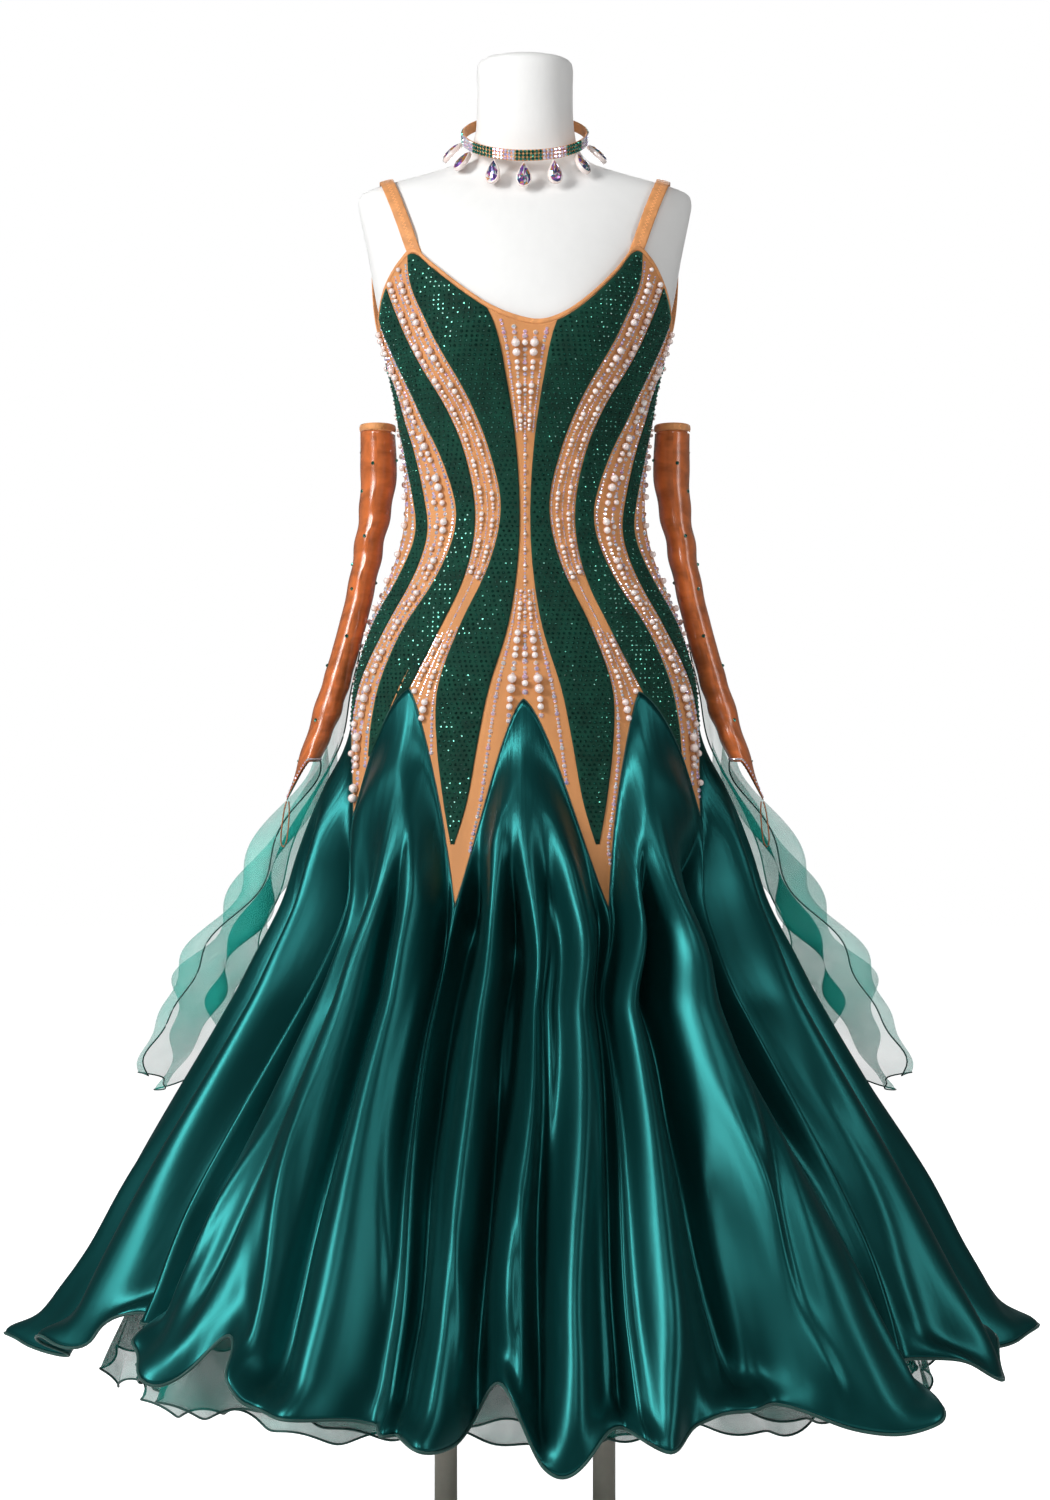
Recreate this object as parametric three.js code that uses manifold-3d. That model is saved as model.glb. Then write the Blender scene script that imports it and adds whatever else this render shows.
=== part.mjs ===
// A ballroom dance dress on a limbless dress form: stretch mesh bodice with velvet panels, eight satin
// godets, two organza underskirts, a pair of mitts with organza floats, and a matching neckband.
// Millimetres, +Z up, front towards -Y, origin in the middle of the underside of the base plate.
import * as THREE from 'three';
import Module from 'manifold-3d';
import { mergeVertices } from 'three/addons/utils/BufferGeometryUtils.js';

const wasm = await Module();
wasm.setup();

// ---- driving dimensions ----
const SEAM_GAP = 0.35;
const MESH_WALL = { inner: 1.2, outer: 2.3 };
const VELVET_WALL = { inner: 2.75, outer: 3.85 };
const SATIN_WALL = { inner: 1.2, outer: 2.3 };
const ORGANZA_WALL = 1.0;
const GORE_COLUMNS = 8;
const GORE_ROWS = 8;
const BODICE_ROWS = 9;
const BODICE_SPACING = 1.25;
const SEAM_MID_Z = 600;
const SEAM_LOW_Z = 300;
const PLATE = { width: 400, depth: 300, height: 8, corner: 18 };
const POST = { x: 87, radius: 12.5 };
const FORM_BOTTOM = 704;
const FORM_EASE = 4;
const BAND_HEIGHT = 12;
const BINDING_HEIGHT = 5;
const CUTTER = { inner: 25, outer: 420, flatness: 0.72, steps: 8 };
const LEAST_HALF_PANEL = 0.5;
const FLOAT_RIPPLE = { height: 14, across: 9, start: 1, twist: 2.2 };
const STRAP_CENTRE = { across: 0.8, z: 1380 };

// The body that the bodice is cut for: half width, and depth in front of and behind the side seam.
const BODY = [
  { z: 1440, width: 181, front: 94, back: 97 },
  { z: 1410, width: 175, front: 107, back: 101 },
  { z: 1380, width: 170, front: 117, back: 102 },
  { z: 1350, width: 164, front: 122, back: 101 },
  { z: 1326, width: 158, front: 122, back: 99 },
  { z: 1291, width: 148, front: 118, back: 96 },
  { z: 1260, width: 141, front: 111, back: 93 },
  { z: 1230, width: 137, front: 104, back: 90 },
  { z: 1205, width: 133, front: 98, back: 88 },
  { z: 1165, width: 130, front: 92, back: 86 },
  { z: 1132, width: 130, front: 90, back: 87 },
  { z: 1104, width: 134, front: 91, back: 90 },
  { z: 1075, width: 143, front: 94, back: 95 },
  { z: 1050, width: 153, front: 98, back: 101 },
  { z: 1018, width: 166, front: 104, back: 110 },
  { z: 978, width: 178, front: 110, back: 119 },
  { z: 946, width: 185, front: 114, back: 124 },
  { z: 912, width: 188, front: 117, back: 127 },
  { z: 875, width: 190, front: 119, back: 129 },
  { z: 838, width: 192, front: 123, back: 132 },
  { z: 800, width: 196, front: 131, back: 138 },
  { z: 760, width: 203, front: 142, back: 148 },
  { z: 709, width: 216, front: 160, back: 166 },
  { z: 655, width: 246, front: 192, back: 197 },
  { z: 600, width: 279, front: 228, back: 232 },
  { z: 545, width: 312, front: 264, back: 267 },
  { z: 490, width: 345, front: 300, back: 302 },
  { z: 435, width: 377, front: 335, back: 336 },
  { z: 380, width: 407, front: 368, back: 368 },
  { z: 325, width: 435, front: 399, back: 398 },
  { z: 270, width: 460, front: 426, back: 424 },
  { z: 215, width: 480, front: 448, back: 445 },
  { z: 160, width: 492, front: 460, back: 457 },
];

// Above the bodice the form goes on to the shoulders and the neck.
const SHOULDERS = [
  { z: 1637.5, width: 34, front: 32, back: 34 },
  { z: 1634, width: 49, front: 46, back: 48 },
  { z: 1627, width: 56, front: 52, back: 54 },
  { z: 1600, width: 56.5, front: 52, back: 54 },
  { z: 1570, width: 57, front: 51, back: 54 },
  { z: 1545, width: 60, front: 51, back: 55 },
  { z: 1530, width: 66, front: 51, back: 56 },
  { z: 1519, width: 78, front: 52, back: 57 },
  { z: 1510, width: 104, front: 54, back: 59 },
  { z: 1502, width: 133, front: 57, back: 62 },
  { z: 1494, width: 162, front: 61, back: 67 },
  { z: 1486, width: 182, front: 66, back: 73 },
  { z: 1475, width: 187, front: 74, back: 81 },
  { z: 1460, width: 185, front: 84, back: 90 },
];

const BUST = { angle: 27, z: 1300, spread: 19, height: 52, out: 13 };

// How far the satin stands out of the body line on the crest of a fold, at each height.
const FULLNESS = [
  { z: 940, out: 2 },
  { z: 875, out: 14 },
  { z: 838, out: 26 },
  { z: 800, out: 40 },
  { z: 760, out: 50 },
  { z: 709, out: 56 },
  { z: 655, out: 54 },
  { z: 600, out: 49 },
  { z: 490, out: 48 },
  { z: 380, out: 48 },
  { z: 270, out: 50 },
  { z: 160, out: 50 },
];

// Seams between the godets: where each one starts, and its angle there and at two heights below.
const SEAMS = [
  { tip: 803, top: -71, mid: -61, low: -61 },
  { tip: 709, top: -20, mid: -20, low: -15.5 },
  { tip: 706, top: 24, mid: 17, low: 13 },
  { tip: 803, top: 75, mid: 58, low: 57 },
  { tip: 790, top: 114, mid: 118, low: 121 },
  { tip: 706, top: 158, mid: 161, low: 164 },
  { tip: 706, top: 203, mid: 200, low: 197 },
  { tip: 790, top: 247, mid: 243, low: 240 },
];

// Godets, each from one seam to the next, with the point of its arch.
const GODETS = [
  { name: 'godet_front_left', from: 0, peak: -42, peakZ: 941 },
  { name: 'godet_front_centre', from: 1, peak: -0.5, peakZ: 929 },
  { name: 'godet_front_right', from: 2, peak: 41, peakZ: 937 },
  { name: 'godet_side_right', from: 3, peak: 94, peakZ: 925 },
  { name: 'godet_back_right', from: 4, peak: 137, peakZ: 935 },
  { name: 'godet_back_centre', from: 5, peak: 180, peakZ: 930 },
  { name: 'godet_back_left', from: 6, peak: 224, peakZ: 937 },
  { name: 'godet_side_left', from: 7, peak: 267, peakZ: 925 },
];

// Folds of each godet: place across it (-1 to 1) at three heights, height against the fullness, and width.
const FOLDS = [
  { godet: 0, top: 0.2, mid: 0.08, low: -0.02, high: 1.0, wide: 0.34 },
  { godet: 0, top: 0.6, mid: 0.66, low: 0.58, high: 0.92, wide: 0.22 },
  { godet: 0, top: -0.5, mid: -0.52, low: -0.5, high: 0.5, wide: 0.24 },
  { godet: 1, top: -0.36, mid: -0.4, low: -0.58, high: 0.9, wide: 0.2 },
  { godet: 1, top: 0.0, mid: 0.22, low: -0.08, high: 0.86, wide: 0.18 },
  { godet: 1, top: 0.48, mid: 0.66, low: 0.5, high: 0.98, wide: 0.25 },
  { godet: 2, top: -0.7, mid: -0.8, low: -0.76, high: 0.95, wide: 0.2 },
  { godet: 2, top: -0.2, mid: 0.05, low: 0.38, high: 1.02, wide: 0.4 },
  { godet: 3, top: -0.6, mid: -0.62, low: -0.58, high: 0.95, wide: 0.24 },
  { godet: 3, top: -0.05, mid: 0.02, low: 0.06, high: 1.0, wide: 0.3 },
  { godet: 3, top: 0.55, mid: 0.6, low: 0.62, high: 0.85, wide: 0.24 },
  { godet: 4, top: -0.3, mid: -0.42, low: -0.5, high: 0.95, wide: 0.3 },
  { godet: 4, top: 0.4, mid: 0.5, low: 0.45, high: 1.0, wide: 0.26 },
  { godet: 5, top: -0.5, mid: -0.55, low: -0.6, high: 0.95, wide: 0.24 },
  { godet: 5, top: 0.05, mid: -0.02, low: 0.05, high: 0.8, wide: 0.22 },
  { godet: 5, top: 0.5, mid: 0.6, low: 0.64, high: 1.0, wide: 0.24 },
  { godet: 6, top: -0.4, mid: -0.5, low: -0.46, high: 1.0, wide: 0.28 },
  { godet: 6, top: 0.3, mid: 0.38, low: 0.48, high: 0.9, wide: 0.28 },
  { godet: 7, top: -0.55, mid: -0.6, low: -0.58, high: 0.9, wide: 0.22 },
  { godet: 7, top: 0.02, mid: -0.05, low: -0.08, high: 1.0, wide: 0.32 },
  { godet: 7, top: 0.6, mid: 0.6, low: 0.55, high: 0.85, wide: 0.22 },
];

// The hem all round: height above the floor, and how far it swings out of the cone above it.
const HEM = [
  { angle: -88, z: 214, out: 22 },
  { angle: -74, z: 238, out: 4 },
  { angle: -58, z: 278, out: -10 },
  { angle: -45, z: 236, out: 16 },
  { angle: -38, z: 284, out: -18 },
  { angle: -31, z: 214, out: 10 },
  { angle: -21, z: 219, out: 0 },
  { angle: -14, z: 192, out: 26 },
  { angle: -8, z: 200, out: 8 },
  { angle: -3, z: 246, out: -24 },
  { angle: 2, z: 174, out: 18 },
  { angle: 9, z: 198, out: -6 },
  { angle: 15, z: 188, out: 12 },
  { angle: 20, z: 214, out: -16 },
  { angle: 27, z: 204, out: 6 },
  { angle: 34, z: 212, out: -8 },
  { angle: 47, z: 188, out: 20 },
  { angle: 56, z: 244, out: -14 },
  { angle: 67, z: 212, out: 10 },
  { angle: 77, z: 236, out: -4 },
  { angle: 88, z: 224, out: 22 },
  { angle: 101, z: 250, out: -12 },
  { angle: 113, z: 206, out: 14 },
  { angle: 124, z: 242, out: -10 },
  { angle: 137, z: 200, out: 16 },
  { angle: 149, z: 236, out: -14 },
  { angle: 160, z: 196, out: 12 },
  { angle: 171, z: 230, out: -10 },
  { angle: 183, z: 190, out: 18 },
  { angle: 194, z: 234, out: -12 },
  { angle: 207, z: 200, out: 14 },
  { angle: 219, z: 240, out: -12 },
  { angle: 232, z: 206, out: 16 },
  { angle: 246, z: 246, out: -10 },
  { angle: 259, z: 216, out: 8 },
];
const HEM_REACH = 130;

// Top edge of the bodice: a soft V in front, straps at both sides of it, an open back.
const TOP_EDGE = [
  { angle: -90, z: 1318 },
  { angle: -76, z: 1341 },
  { angle: -62, z: 1374 },
  { angle: -50, z: 1400 },
  { angle: -43, z: 1411 },
  { angle: -36, z: 1396 },
  { angle: -25, z: 1370 },
  { angle: -14, z: 1347 },
  { angle: -4, z: 1334 },
  { angle: 6, z: 1329 },
  { angle: 15, z: 1338 },
  { angle: 25, z: 1360 },
  { angle: 35, z: 1389 },
  { angle: 42, z: 1413 },
  { angle: 50, z: 1403 },
  { angle: 62, z: 1374 },
  { angle: 76, z: 1341 },
  { angle: 90, z: 1318 },
  { angle: 104, z: 1310 },
  { angle: 122, z: 1300 },
  { angle: 138, z: 1264 },
  { angle: 152, z: 1216 },
  { angle: 166, z: 1182 },
  { angle: 180, z: 1172 },
  { angle: 194, z: 1182 },
  { angle: 208, z: 1216 },
  { angle: 222, z: 1264 },
  { angle: 238, z: 1300 },
  { angle: 256, z: 1310 },
];

// Velvet panels of one side: the line they follow and half their width, in degrees round the body.
const PANELS = [
  {
    name: 'velvet_front_inner',
    back: false,
    rows: [
      { z: 1440, centre: 36, half: 8 },
      { z: 1380, centre: 33, half: 13 },
      { z: 1330, centre: 25, half: 13.5 },
      { z: 1270, centre: 17.5, half: 10 },
      { z: 1200, centre: 10.5, half: 6.5 },
      { z: 1140, centre: 7, half: 4.5 },
      { z: 1080, centre: 9, half: 6 },
      { z: 1010, centre: 15, half: 9 },
      { z: 940, centre: 21, half: 9 },
      { z: 880, centre: 22.5, half: 7 },
      { z: 820, centre: 22.5, half: 4 },
      { z: 775, centre: 22.5, half: 0.6 },
    ],
  },
  {
    name: 'velvet_front_outer',
    back: false,
    rows: [
      { z: 1392, centre: 64, half: 0.8 },
      { z: 1350, centre: 66, half: 8 },
      { z: 1300, centre: 59, half: 9 },
      { z: 1240, centre: 45, half: 9 },
      { z: 1180, centre: 34, half: 6.5 },
      { z: 1125, centre: 29, half: 5 },
      { z: 1060, centre: 33, half: 7 },
      { z: 1000, centre: 42, half: 9 },
      { z: 940, centre: 50, half: 8 },
      { z: 900, centre: 56, half: 5 },
      { z: 868, centre: 61, half: 0.8 },
    ],
  },
  {
    name: 'velvet_side',
    back: false,
    rows: [
      { z: 1300, centre: 88, half: 0.8 },
      { z: 1262, centre: 82, half: 6 },
      { z: 1200, centre: 71, half: 7 },
      { z: 1150, centre: 62, half: 5.5 },
      { z: 1110, centre: 57, half: 5 },
      { z: 1060, centre: 61, half: 6.5 },
      { z: 1010, centre: 70, half: 8 },
      { z: 960, centre: 79, half: 7 },
      { z: 920, centre: 84, half: 4 },
      { z: 888, centre: 86, half: 0.8 },
    ],
  },
  {
    name: 'velvet_back_outer',
    back: true,
    rows: [
      { z: 1296, centre: 76, half: 0.8 },
      { z: 1255, centre: 76, half: 7 },
      { z: 1190, centre: 66, half: 7 },
      { z: 1125, centre: 56, half: 5 },
      { z: 1060, centre: 60, half: 6.5 },
      { z: 1000, centre: 71, half: 8 },
      { z: 945, centre: 80, half: 6 },
      { z: 900, centre: 85, half: 0.8 },
    ],
  },
  {
    name: 'velvet_back_inner',
    back: true,
    rows: [
      { z: 1262, centre: 48, half: 0.8 },
      { z: 1220, centre: 43, half: 9 },
      { z: 1160, centre: 29, half: 8 },
      { z: 1100, centre: 18, half: 5 },
      { z: 1040, centre: 18, half: 7 },
      { z: 980, centre: 22, half: 8.5 },
      { z: 920, centre: 23, half: 8 },
      { z: 860, centre: 22.5, half: 5.5 },
      { z: 810, centre: 22, half: 3 },
      { z: 770, centre: 22, half: 0.6 },
    ],
  },
];

// A mitt of the right arm: middle line, and half widths across and from front to back.
const MITT = [
  { z: 1226, x: 163, y: 26, across: 18, deep: 35 },
  { z: 1183, x: 162, y: 26, across: 19, deep: 34 },
  { z: 1149, x: 164.5, y: 25, across: 17, deep: 33 },
  { z: 1102, x: 172, y: 23, across: 15, deep: 31 },
  { z: 1058, x: 180, y: 20, across: 14, deep: 29 },
  { z: 1018, x: 189, y: 17, across: 14, deep: 27 },
  { z: 974, x: 201, y: 13, across: 14, deep: 25 },
  { z: 923, x: 216, y: 8, across: 14.5, deep: 24 },
  { z: 888, x: 228, y: 4, across: 13, deep: 24 },
  { z: 862, x: 238, y: 0, across: 11, deep: 24 },
];
const MITT_SIDES = 12;
const MITT_ROWS = 8;
const MITT_WALL = 1.2;
const MITT_POINT = { out: 12, drop: 42 };
const CUFF_HEIGHT = 8;
const LOOP = { lean: 0.1, thick: 1.6 };
const LOOP_ROUTE = [
  { side: -1.3, drop: 0 },
  { side: -2.8, drop: -10 },
  { side: -3.5, drop: -24 },
  { side: -3.5, drop: -38 },
  { side: -2.45, drop: -46 },
  { side: 0, drop: -50 },
  { side: 2.45, drop: -46 },
  { side: 3.5, drop: -38 },
  { side: 3.5, drop: -24 },
  { side: 2.8, drop: -10 },
  { side: 1.3, drop: 0 },
];

// Floats: a long organza panel, narrow behind the mitt, then spread over the side of the skirt.
// near and far are its reach beyond the satin, start and end its angles round the body.
const FLOAT = [
  { z: 900, near: 12, far: 30, start: 104, end: 116 },
  { z: 850, near: 8, far: 30, start: 98, end: 112 },
  { z: 800, near: 8, far: 40, start: 95, end: 110 },
  { z: 740, near: 8, far: 50, start: 90, end: 112 },
  { z: 680, near: 8, far: 60, start: 87, end: 114 },
  { z: 620, near: 8, far: 70, start: 86, end: 118 },
  { z: 560, near: 8, far: 58, start: 87, end: 124 },
  { z: 505, near: 8, far: 30, start: 91, end: 128 },
];
const FLOAT_TOP = 1150;
const FLOAT_BEHIND = { gap: 7, wave: 8, inner: 14, outer: 6 };
const FLOAT_JOIN = { z: 905, length: 70 };
const FLOAT_COLUMNS = 10;
const FLOAT_ROWS = 9;
const FLOAT_WAVES = 2.5;

// Neckband: an upright oval band, lower in front, and the angles of its seven drops.
const NECKBAND = { across: 67, deep: 64, y: -6, z: 1551, rise: 0.47, wall: 1.6 };
const DROPS = [
  { angle: -86, swing: 44 },
  { angle: -58, swing: 42 },
  { angle: -28, swing: 14 },
  { angle: -1, swing: 4 },
  { angle: 26, swing: 14 },
  { angle: 52, swing: 36 },
  { angle: 80, swing: 46 },
];
const DROP = { half: 8.5, long: 28, thick: 5, gap: 0.5 };

// Route of a strap over the shoulder, on the front (-1), on the ridge (0) and on the back (1) of the form.
const STRAP = [
  { x: 123, z: 1421, face: -1 },
  { x: 127, z: 1433, face: -1 },
  { x: 132, z: 1447, face: -1 },
  { x: 138, z: 1463, face: -1 },
  { x: 144, z: 1478, face: -1 },
  { x: 149, z: 1490, face: -1 },
  { x: 152, z: 1498, face: 0 },
  { x: 153, z: 1488, face: 1 },
  { x: 156, z: 1468, face: 1 },
  { x: 160, z: 1440, face: 1 },
  { x: 163, z: 1408, face: 1 },
  { x: 162, z: 1375, face: 1 },
  { x: 159, z: 1347, face: 1 },
  { x: 154, z: 1322, face: 1 },
];
const STRAP_LIFT = 1.5;
const STRAP_WIDTH = 15;
const STRAP_THICK = 1.4;

// ---- shared mathematics ----
const degrees = Math.PI / 180;
const lerp = (a, b, t) => a + (b - a) * t;
const clamp01 = (t) => Math.min(1, Math.max(0, t));
const ease = (t) => clamp01(t) ** 2 * (3 - 2 * clamp01(t));
const bell = (t) => Math.exp(-t * t);

// A smooth curve through one column of a table: a cubic between rows, with the mean slope at each row.
function curve(table, key, column, period = 0) {
  const rows = [...table].sort((a, b) => a[key] - b[key]);
  if (period) {
    const first = rows[0];
    const last = rows[rows.length - 1];
    rows.unshift({ ...last, [key]: last[key] - period });
    rows.push({ ...first, [key]: first[key] + period });
  }
  const at = rows.map((row) => row[key]);
  const value = rows.map((row) => row[column]);
  const slope = at.map((_, i) => {
    const a = Math.max(0, i - 1);
    const b = Math.min(at.length - 1, i + 1);
    return (value[b] - value[a]) / (at[b] - at[a]);
  });
  return (raw) => {
    let x = raw;
    if (period) {
      x = at[1] + ((((raw - at[1]) % period) + period) % period);
    }
    x = Math.min(at[at.length - 1], Math.max(at[0], x));
    let i = 0;
    while (i < at.length - 2 && x > at[i + 1]) {
      i += 1;
    }
    const h = at[i + 1] - at[i];
    const t = (x - at[i]) / h;
    const near = (1 + 2 * t) * (1 - t) ** 2 * value[i] + t * (1 - t) ** 2 * h * slope[i];
    const far = t * t * (3 - 2 * t) * value[i + 1] + t * t * (t - 1) * h * slope[i + 1];
    return near + far;
  };
}

// A closed wall between two grids of points; across is the number of columns, closed when wrap is true.
function wallGeometry(rows, across, wrap, innerPoint, outerPoint) {
  const columns = wrap ? across : across + 1;
  const positions = [];
  for (const point of [outerPoint, innerPoint]) {
    for (let i = 0; i <= rows; i += 1) {
      for (let j = 0; j < columns; j += 1) {
        positions.push(...point(i / rows, j / across));
      }
    }
  }
  const layer = (rows + 1) * columns;
  const outer = (i, j) => i * columns + (j % columns);
  const inner = (i, j) => layer + outer(i, j);
  const index = [];
  const quad = (a, b, c, d) => index.push(a, b, c, a, c, d);
  for (let i = 0; i < rows; i += 1) {
    for (let j = 0; j < across; j += 1) {
      quad(outer(i, j), outer(i + 1, j), outer(i + 1, j + 1), outer(i, j + 1));
      quad(inner(i, j), inner(i, j + 1), inner(i + 1, j + 1), inner(i + 1, j));
    }
  }
  for (let j = 0; j < across; j += 1) {
    quad(inner(0, j), outer(0, j), outer(0, j + 1), inner(0, j + 1));
    quad(outer(rows, j), inner(rows, j), inner(rows, j + 1), outer(rows, j + 1));
  }
  if (!wrap) {
    for (let i = 0; i < rows; i += 1) {
      quad(outer(i, 0), inner(i, 0), inner(i + 1, 0), outer(i + 1, 0));
      quad(inner(i, across), outer(i, across), outer(i + 1, across), inner(i + 1, across));
    }
  }
  const geometry = new THREE.BufferGeometry();
  geometry.setAttribute('position', new THREE.Float32BufferAttribute(positions, 3));
  geometry.setIndex(index);
  geometry.computeVertexNormals();
  return geometry;
}

// The direction square to a surface given on a grid of rows (downwards) and columns (to the right).
function squareTo(surface, i, j) {
  const step = 0.02;
  const down = new THREE.Vector3(...surface(Math.min(1, i + step), j));
  down.sub(new THREE.Vector3(...surface(Math.max(0, i - step), j)));
  const right = new THREE.Vector3(...surface(i, Math.min(1, j + step)));
  right.sub(new THREE.Vector3(...surface(i, Math.max(0, j - step))));
  return down.cross(right).normalize();
}

function toSolid(geometry) {
  const bare = geometry.clone();
  bare.deleteAttribute('normal');
  bare.deleteAttribute('uv');
  const merged = mergeVertices(bare, 1e-4);
  const vertProperties = new Float32Array(merged.attributes.position.array);
  const triVerts = new Uint32Array(merged.index.array);
  return new wasm.Manifold(new wasm.Mesh({ numProp: 3, vertProperties, triVerts }));
}

function fromSolid(solid) {
  const mesh = solid.getMesh();
  const geometry = new THREE.BufferGeometry();
  geometry.setAttribute('position', new THREE.Float32BufferAttribute(mesh.vertProperties, 3));
  geometry.setIndex([...mesh.triVerts]);
  geometry.computeVertexNormals();
  return geometry;
}

// ---- materials ----
const finish = (colour, roughness, metalness) =>
  new THREE.MeshStandardMaterial({ color: colour, roughness, metalness });
const SATIN = finish(0x0f5a55, 0.35, 0.2);
const VELVET = finish(0x0b3a2a, 0.8, 0);
const MESH = finish(0xd98e55, 0.6, 0);
const MITT_MESH = finish(0xb5602b, 0.35, 0);
const ORGANZA = finish(0x7fc4ad, 0.4, 0);
const FORM = finish(0xe9e8e6, 0.7, 0);
const POST_PAINT = finish(0xe6e1d6, 0.4, 0);
const STEEL = finish(0xd8d8d6, 0.4, 0.6);
const CRYSTAL = finish(0xcfc4e8, 0.1, 0.3);
const ELASTIC = finish(0x9a6238, 0.5, 0);

const dress = new THREE.Group();
function add(name, geometry, material, x = 0, y = 0, z = 0) {
  const mesh = new THREE.Mesh(geometry, material.clone());
  mesh.name = name;
  mesh.position.set(x, y, z);
  dress.add(mesh);
}

// ---- body surface ----
const bodyWidth = curve(BODY, 'z', 'width');
const bodyFront = curve(BODY, 'z', 'front');
const bodyBack = curve(BODY, 'z', 'back');

// A ring of half width and half depths, read at an angle round from the front, moved out by a distance.
function ringPoint(width, front, back, angle, out) {
  const a = angle * degrees;
  const depth = Math.cos(a) > 0 ? front : back;
  const slopeX = Math.sin(a) / width;
  const slopeY = -Math.cos(a) / depth;
  const length = Math.hypot(slopeX, slopeY);
  const x = width * Math.sin(a) + (out * slopeX) / length;
  const y = -depth * Math.cos(a) + (out * slopeY) / length;
  return [x, y];
}

function bustOut(angle, z) {
  const level = bell((z - BUST.z) / BUST.height);
  const right = bell((angle - BUST.angle) / BUST.spread);
  const left = bell((angle + BUST.angle) / BUST.spread);
  return BUST.out * level * (right + left);
}

const signedAngle = (angle) => ((((angle + 180) % 360) + 360) % 360) - 180;

function bodyPoint(angle, z, out) {
  const lift = out + bustOut(signedAngle(angle), z);
  const [x, y] = ringPoint(bodyWidth(z), bodyFront(z), bodyBack(z), angle, lift);
  return [x, y, z];
}

// ---- satin skirt surface ----
function seamAngle(seam, z) {
  if (z >= SEAM_MID_Z) {
    return lerp(seam.top, seam.mid, ease((seam.tip - z) / (seam.tip - SEAM_MID_Z)));
  }
  return lerp(seam.mid, seam.low, ease((SEAM_MID_Z - z) / (SEAM_MID_Z - SEAM_LOW_Z)));
}

function godetSeams(index) {
  const left = SEAMS[GODETS[index].from];
  const next = SEAMS[(GODETS[index].from + 1) % SEAMS.length];
  const turn = next.top < left.top ? 360 : 0;
  const right = { tip: next.tip, top: next.top + turn, mid: next.mid + turn, low: next.low + turn };
  return { left, right };
}

// Height of the arched top edge across a godet: the point in the middle, the seam tips at its sides.
function archHeight(index, u) {
  const { left, right } = godetSeams(index);
  const tip = u < 0 ? left.tip : right.tip;
  return lerp(GODETS[index].peakZ, tip, Math.abs(u) ** 1.43);
}

function godetAngle(index, u, z) {
  const { left, right } = godetSeams(index);
  const a = seamAngle(left, z);
  const b = seamAngle(right, z);
  const tip = (left.tip + right.tip) / 2;
  const middle = lerp(GODETS[index].peak, (a + b) / 2, ease((tip - z) / 150));
  return u < 0 ? lerp(middle, a, -u) : lerp(middle, b, u);
}

const fullness = curve(FULLNESS, 'z', 'out');
const hemHeight = curve(HEM, 'angle', 'z', 360);
const hemSwing = curve(HEM, 'angle', 'out', 360);

function foldPlace(fold, z) {
  if (z >= SEAM_MID_Z) {
    return lerp(fold.top, fold.mid, ease((820 - z) / (820 - SEAM_MID_Z)));
  }
  return lerp(fold.mid, fold.low, ease((SEAM_MID_Z - z) / (SEAM_MID_Z - SEAM_LOW_Z)));
}

// Part of the fullness that a godet takes at a place across it: a plain swell above, its folds below.
function foldHeight(index, u, z) {
  const swell = 1 - Math.abs(u) ** 2.4;
  let folds = -0.12;
  for (const fold of FOLDS) {
    if (fold.godet === index) {
      folds += fold.high * bell((u - foldPlace(fold, z)) / fold.wide);
    }
  }
  const seam = 0.3 * ease((700 - z) / 400);
  const edge = ease((1 - Math.abs(u)) / 0.12);
  const share = ease((860 - z) / 200);
  const shaped = lerp(seam, folds, edge);
  return lerp(swell, shaped, share);
}

function godetPoint(index, u, v, out) {
  const top = archHeight(index, u);
  const hemAngle = godetAngle(index, u, SEAM_LOW_Z);
  const hem = hemHeight(hemAngle);
  const z = lerp(top, hem, v);
  const angle = godetAngle(index, u, z);
  const away = ease((top - z) / 90);
  const swing = hemSwing(hemAngle) * ease((hem + HEM_REACH - z) / HEM_REACH);
  const lift = fullness(z) * away * foldHeight(index, u, z) + swing + out;
  const [x, y] = ringPoint(bodyWidth(z), bodyFront(z), bodyBack(z), angle, lift);
  return [x, y, z];
}

// ---- stand and form ----
function addStand() {
  const outline = new THREE.Shape();
  const w = PLATE.width / 2;
  const d = PLATE.depth / 2;
  const r = PLATE.corner;
  outline.moveTo(-w + r, -d);
  outline.lineTo(w - r, -d);
  outline.absarc(w - r, -d + r, r, -Math.PI / 2, 0);
  outline.lineTo(w, d - r);
  outline.absarc(w - r, d - r, r, 0, Math.PI / 2);
  outline.lineTo(-w + r, d);
  outline.absarc(-w + r, d - r, r, Math.PI / 2, Math.PI);
  outline.lineTo(-w, -d + r);
  outline.absarc(-w + r, -d + r, r, Math.PI, 1.5 * Math.PI);
  const plate = new THREE.ExtrudeGeometry(outline, { depth: PLATE.height, bevelEnabled: false, curveSegments: 5 });
  add('base_plate', plate, STEEL);
  const foot = PLATE.height + SEAM_GAP;
  const length = FORM_BOTTOM - SEAM_GAP - foot;
  for (const [name, side] of [['post_left', -1], ['post_right', 1]]) {
    const post = new THREE.CylinderGeometry(POST.radius, POST.radius, length, 20);
    post.rotateX(Math.PI / 2);
    add(name, post, POST_PAINT, side * POST.x, 0, foot + length / 2);
  }
}

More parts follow.
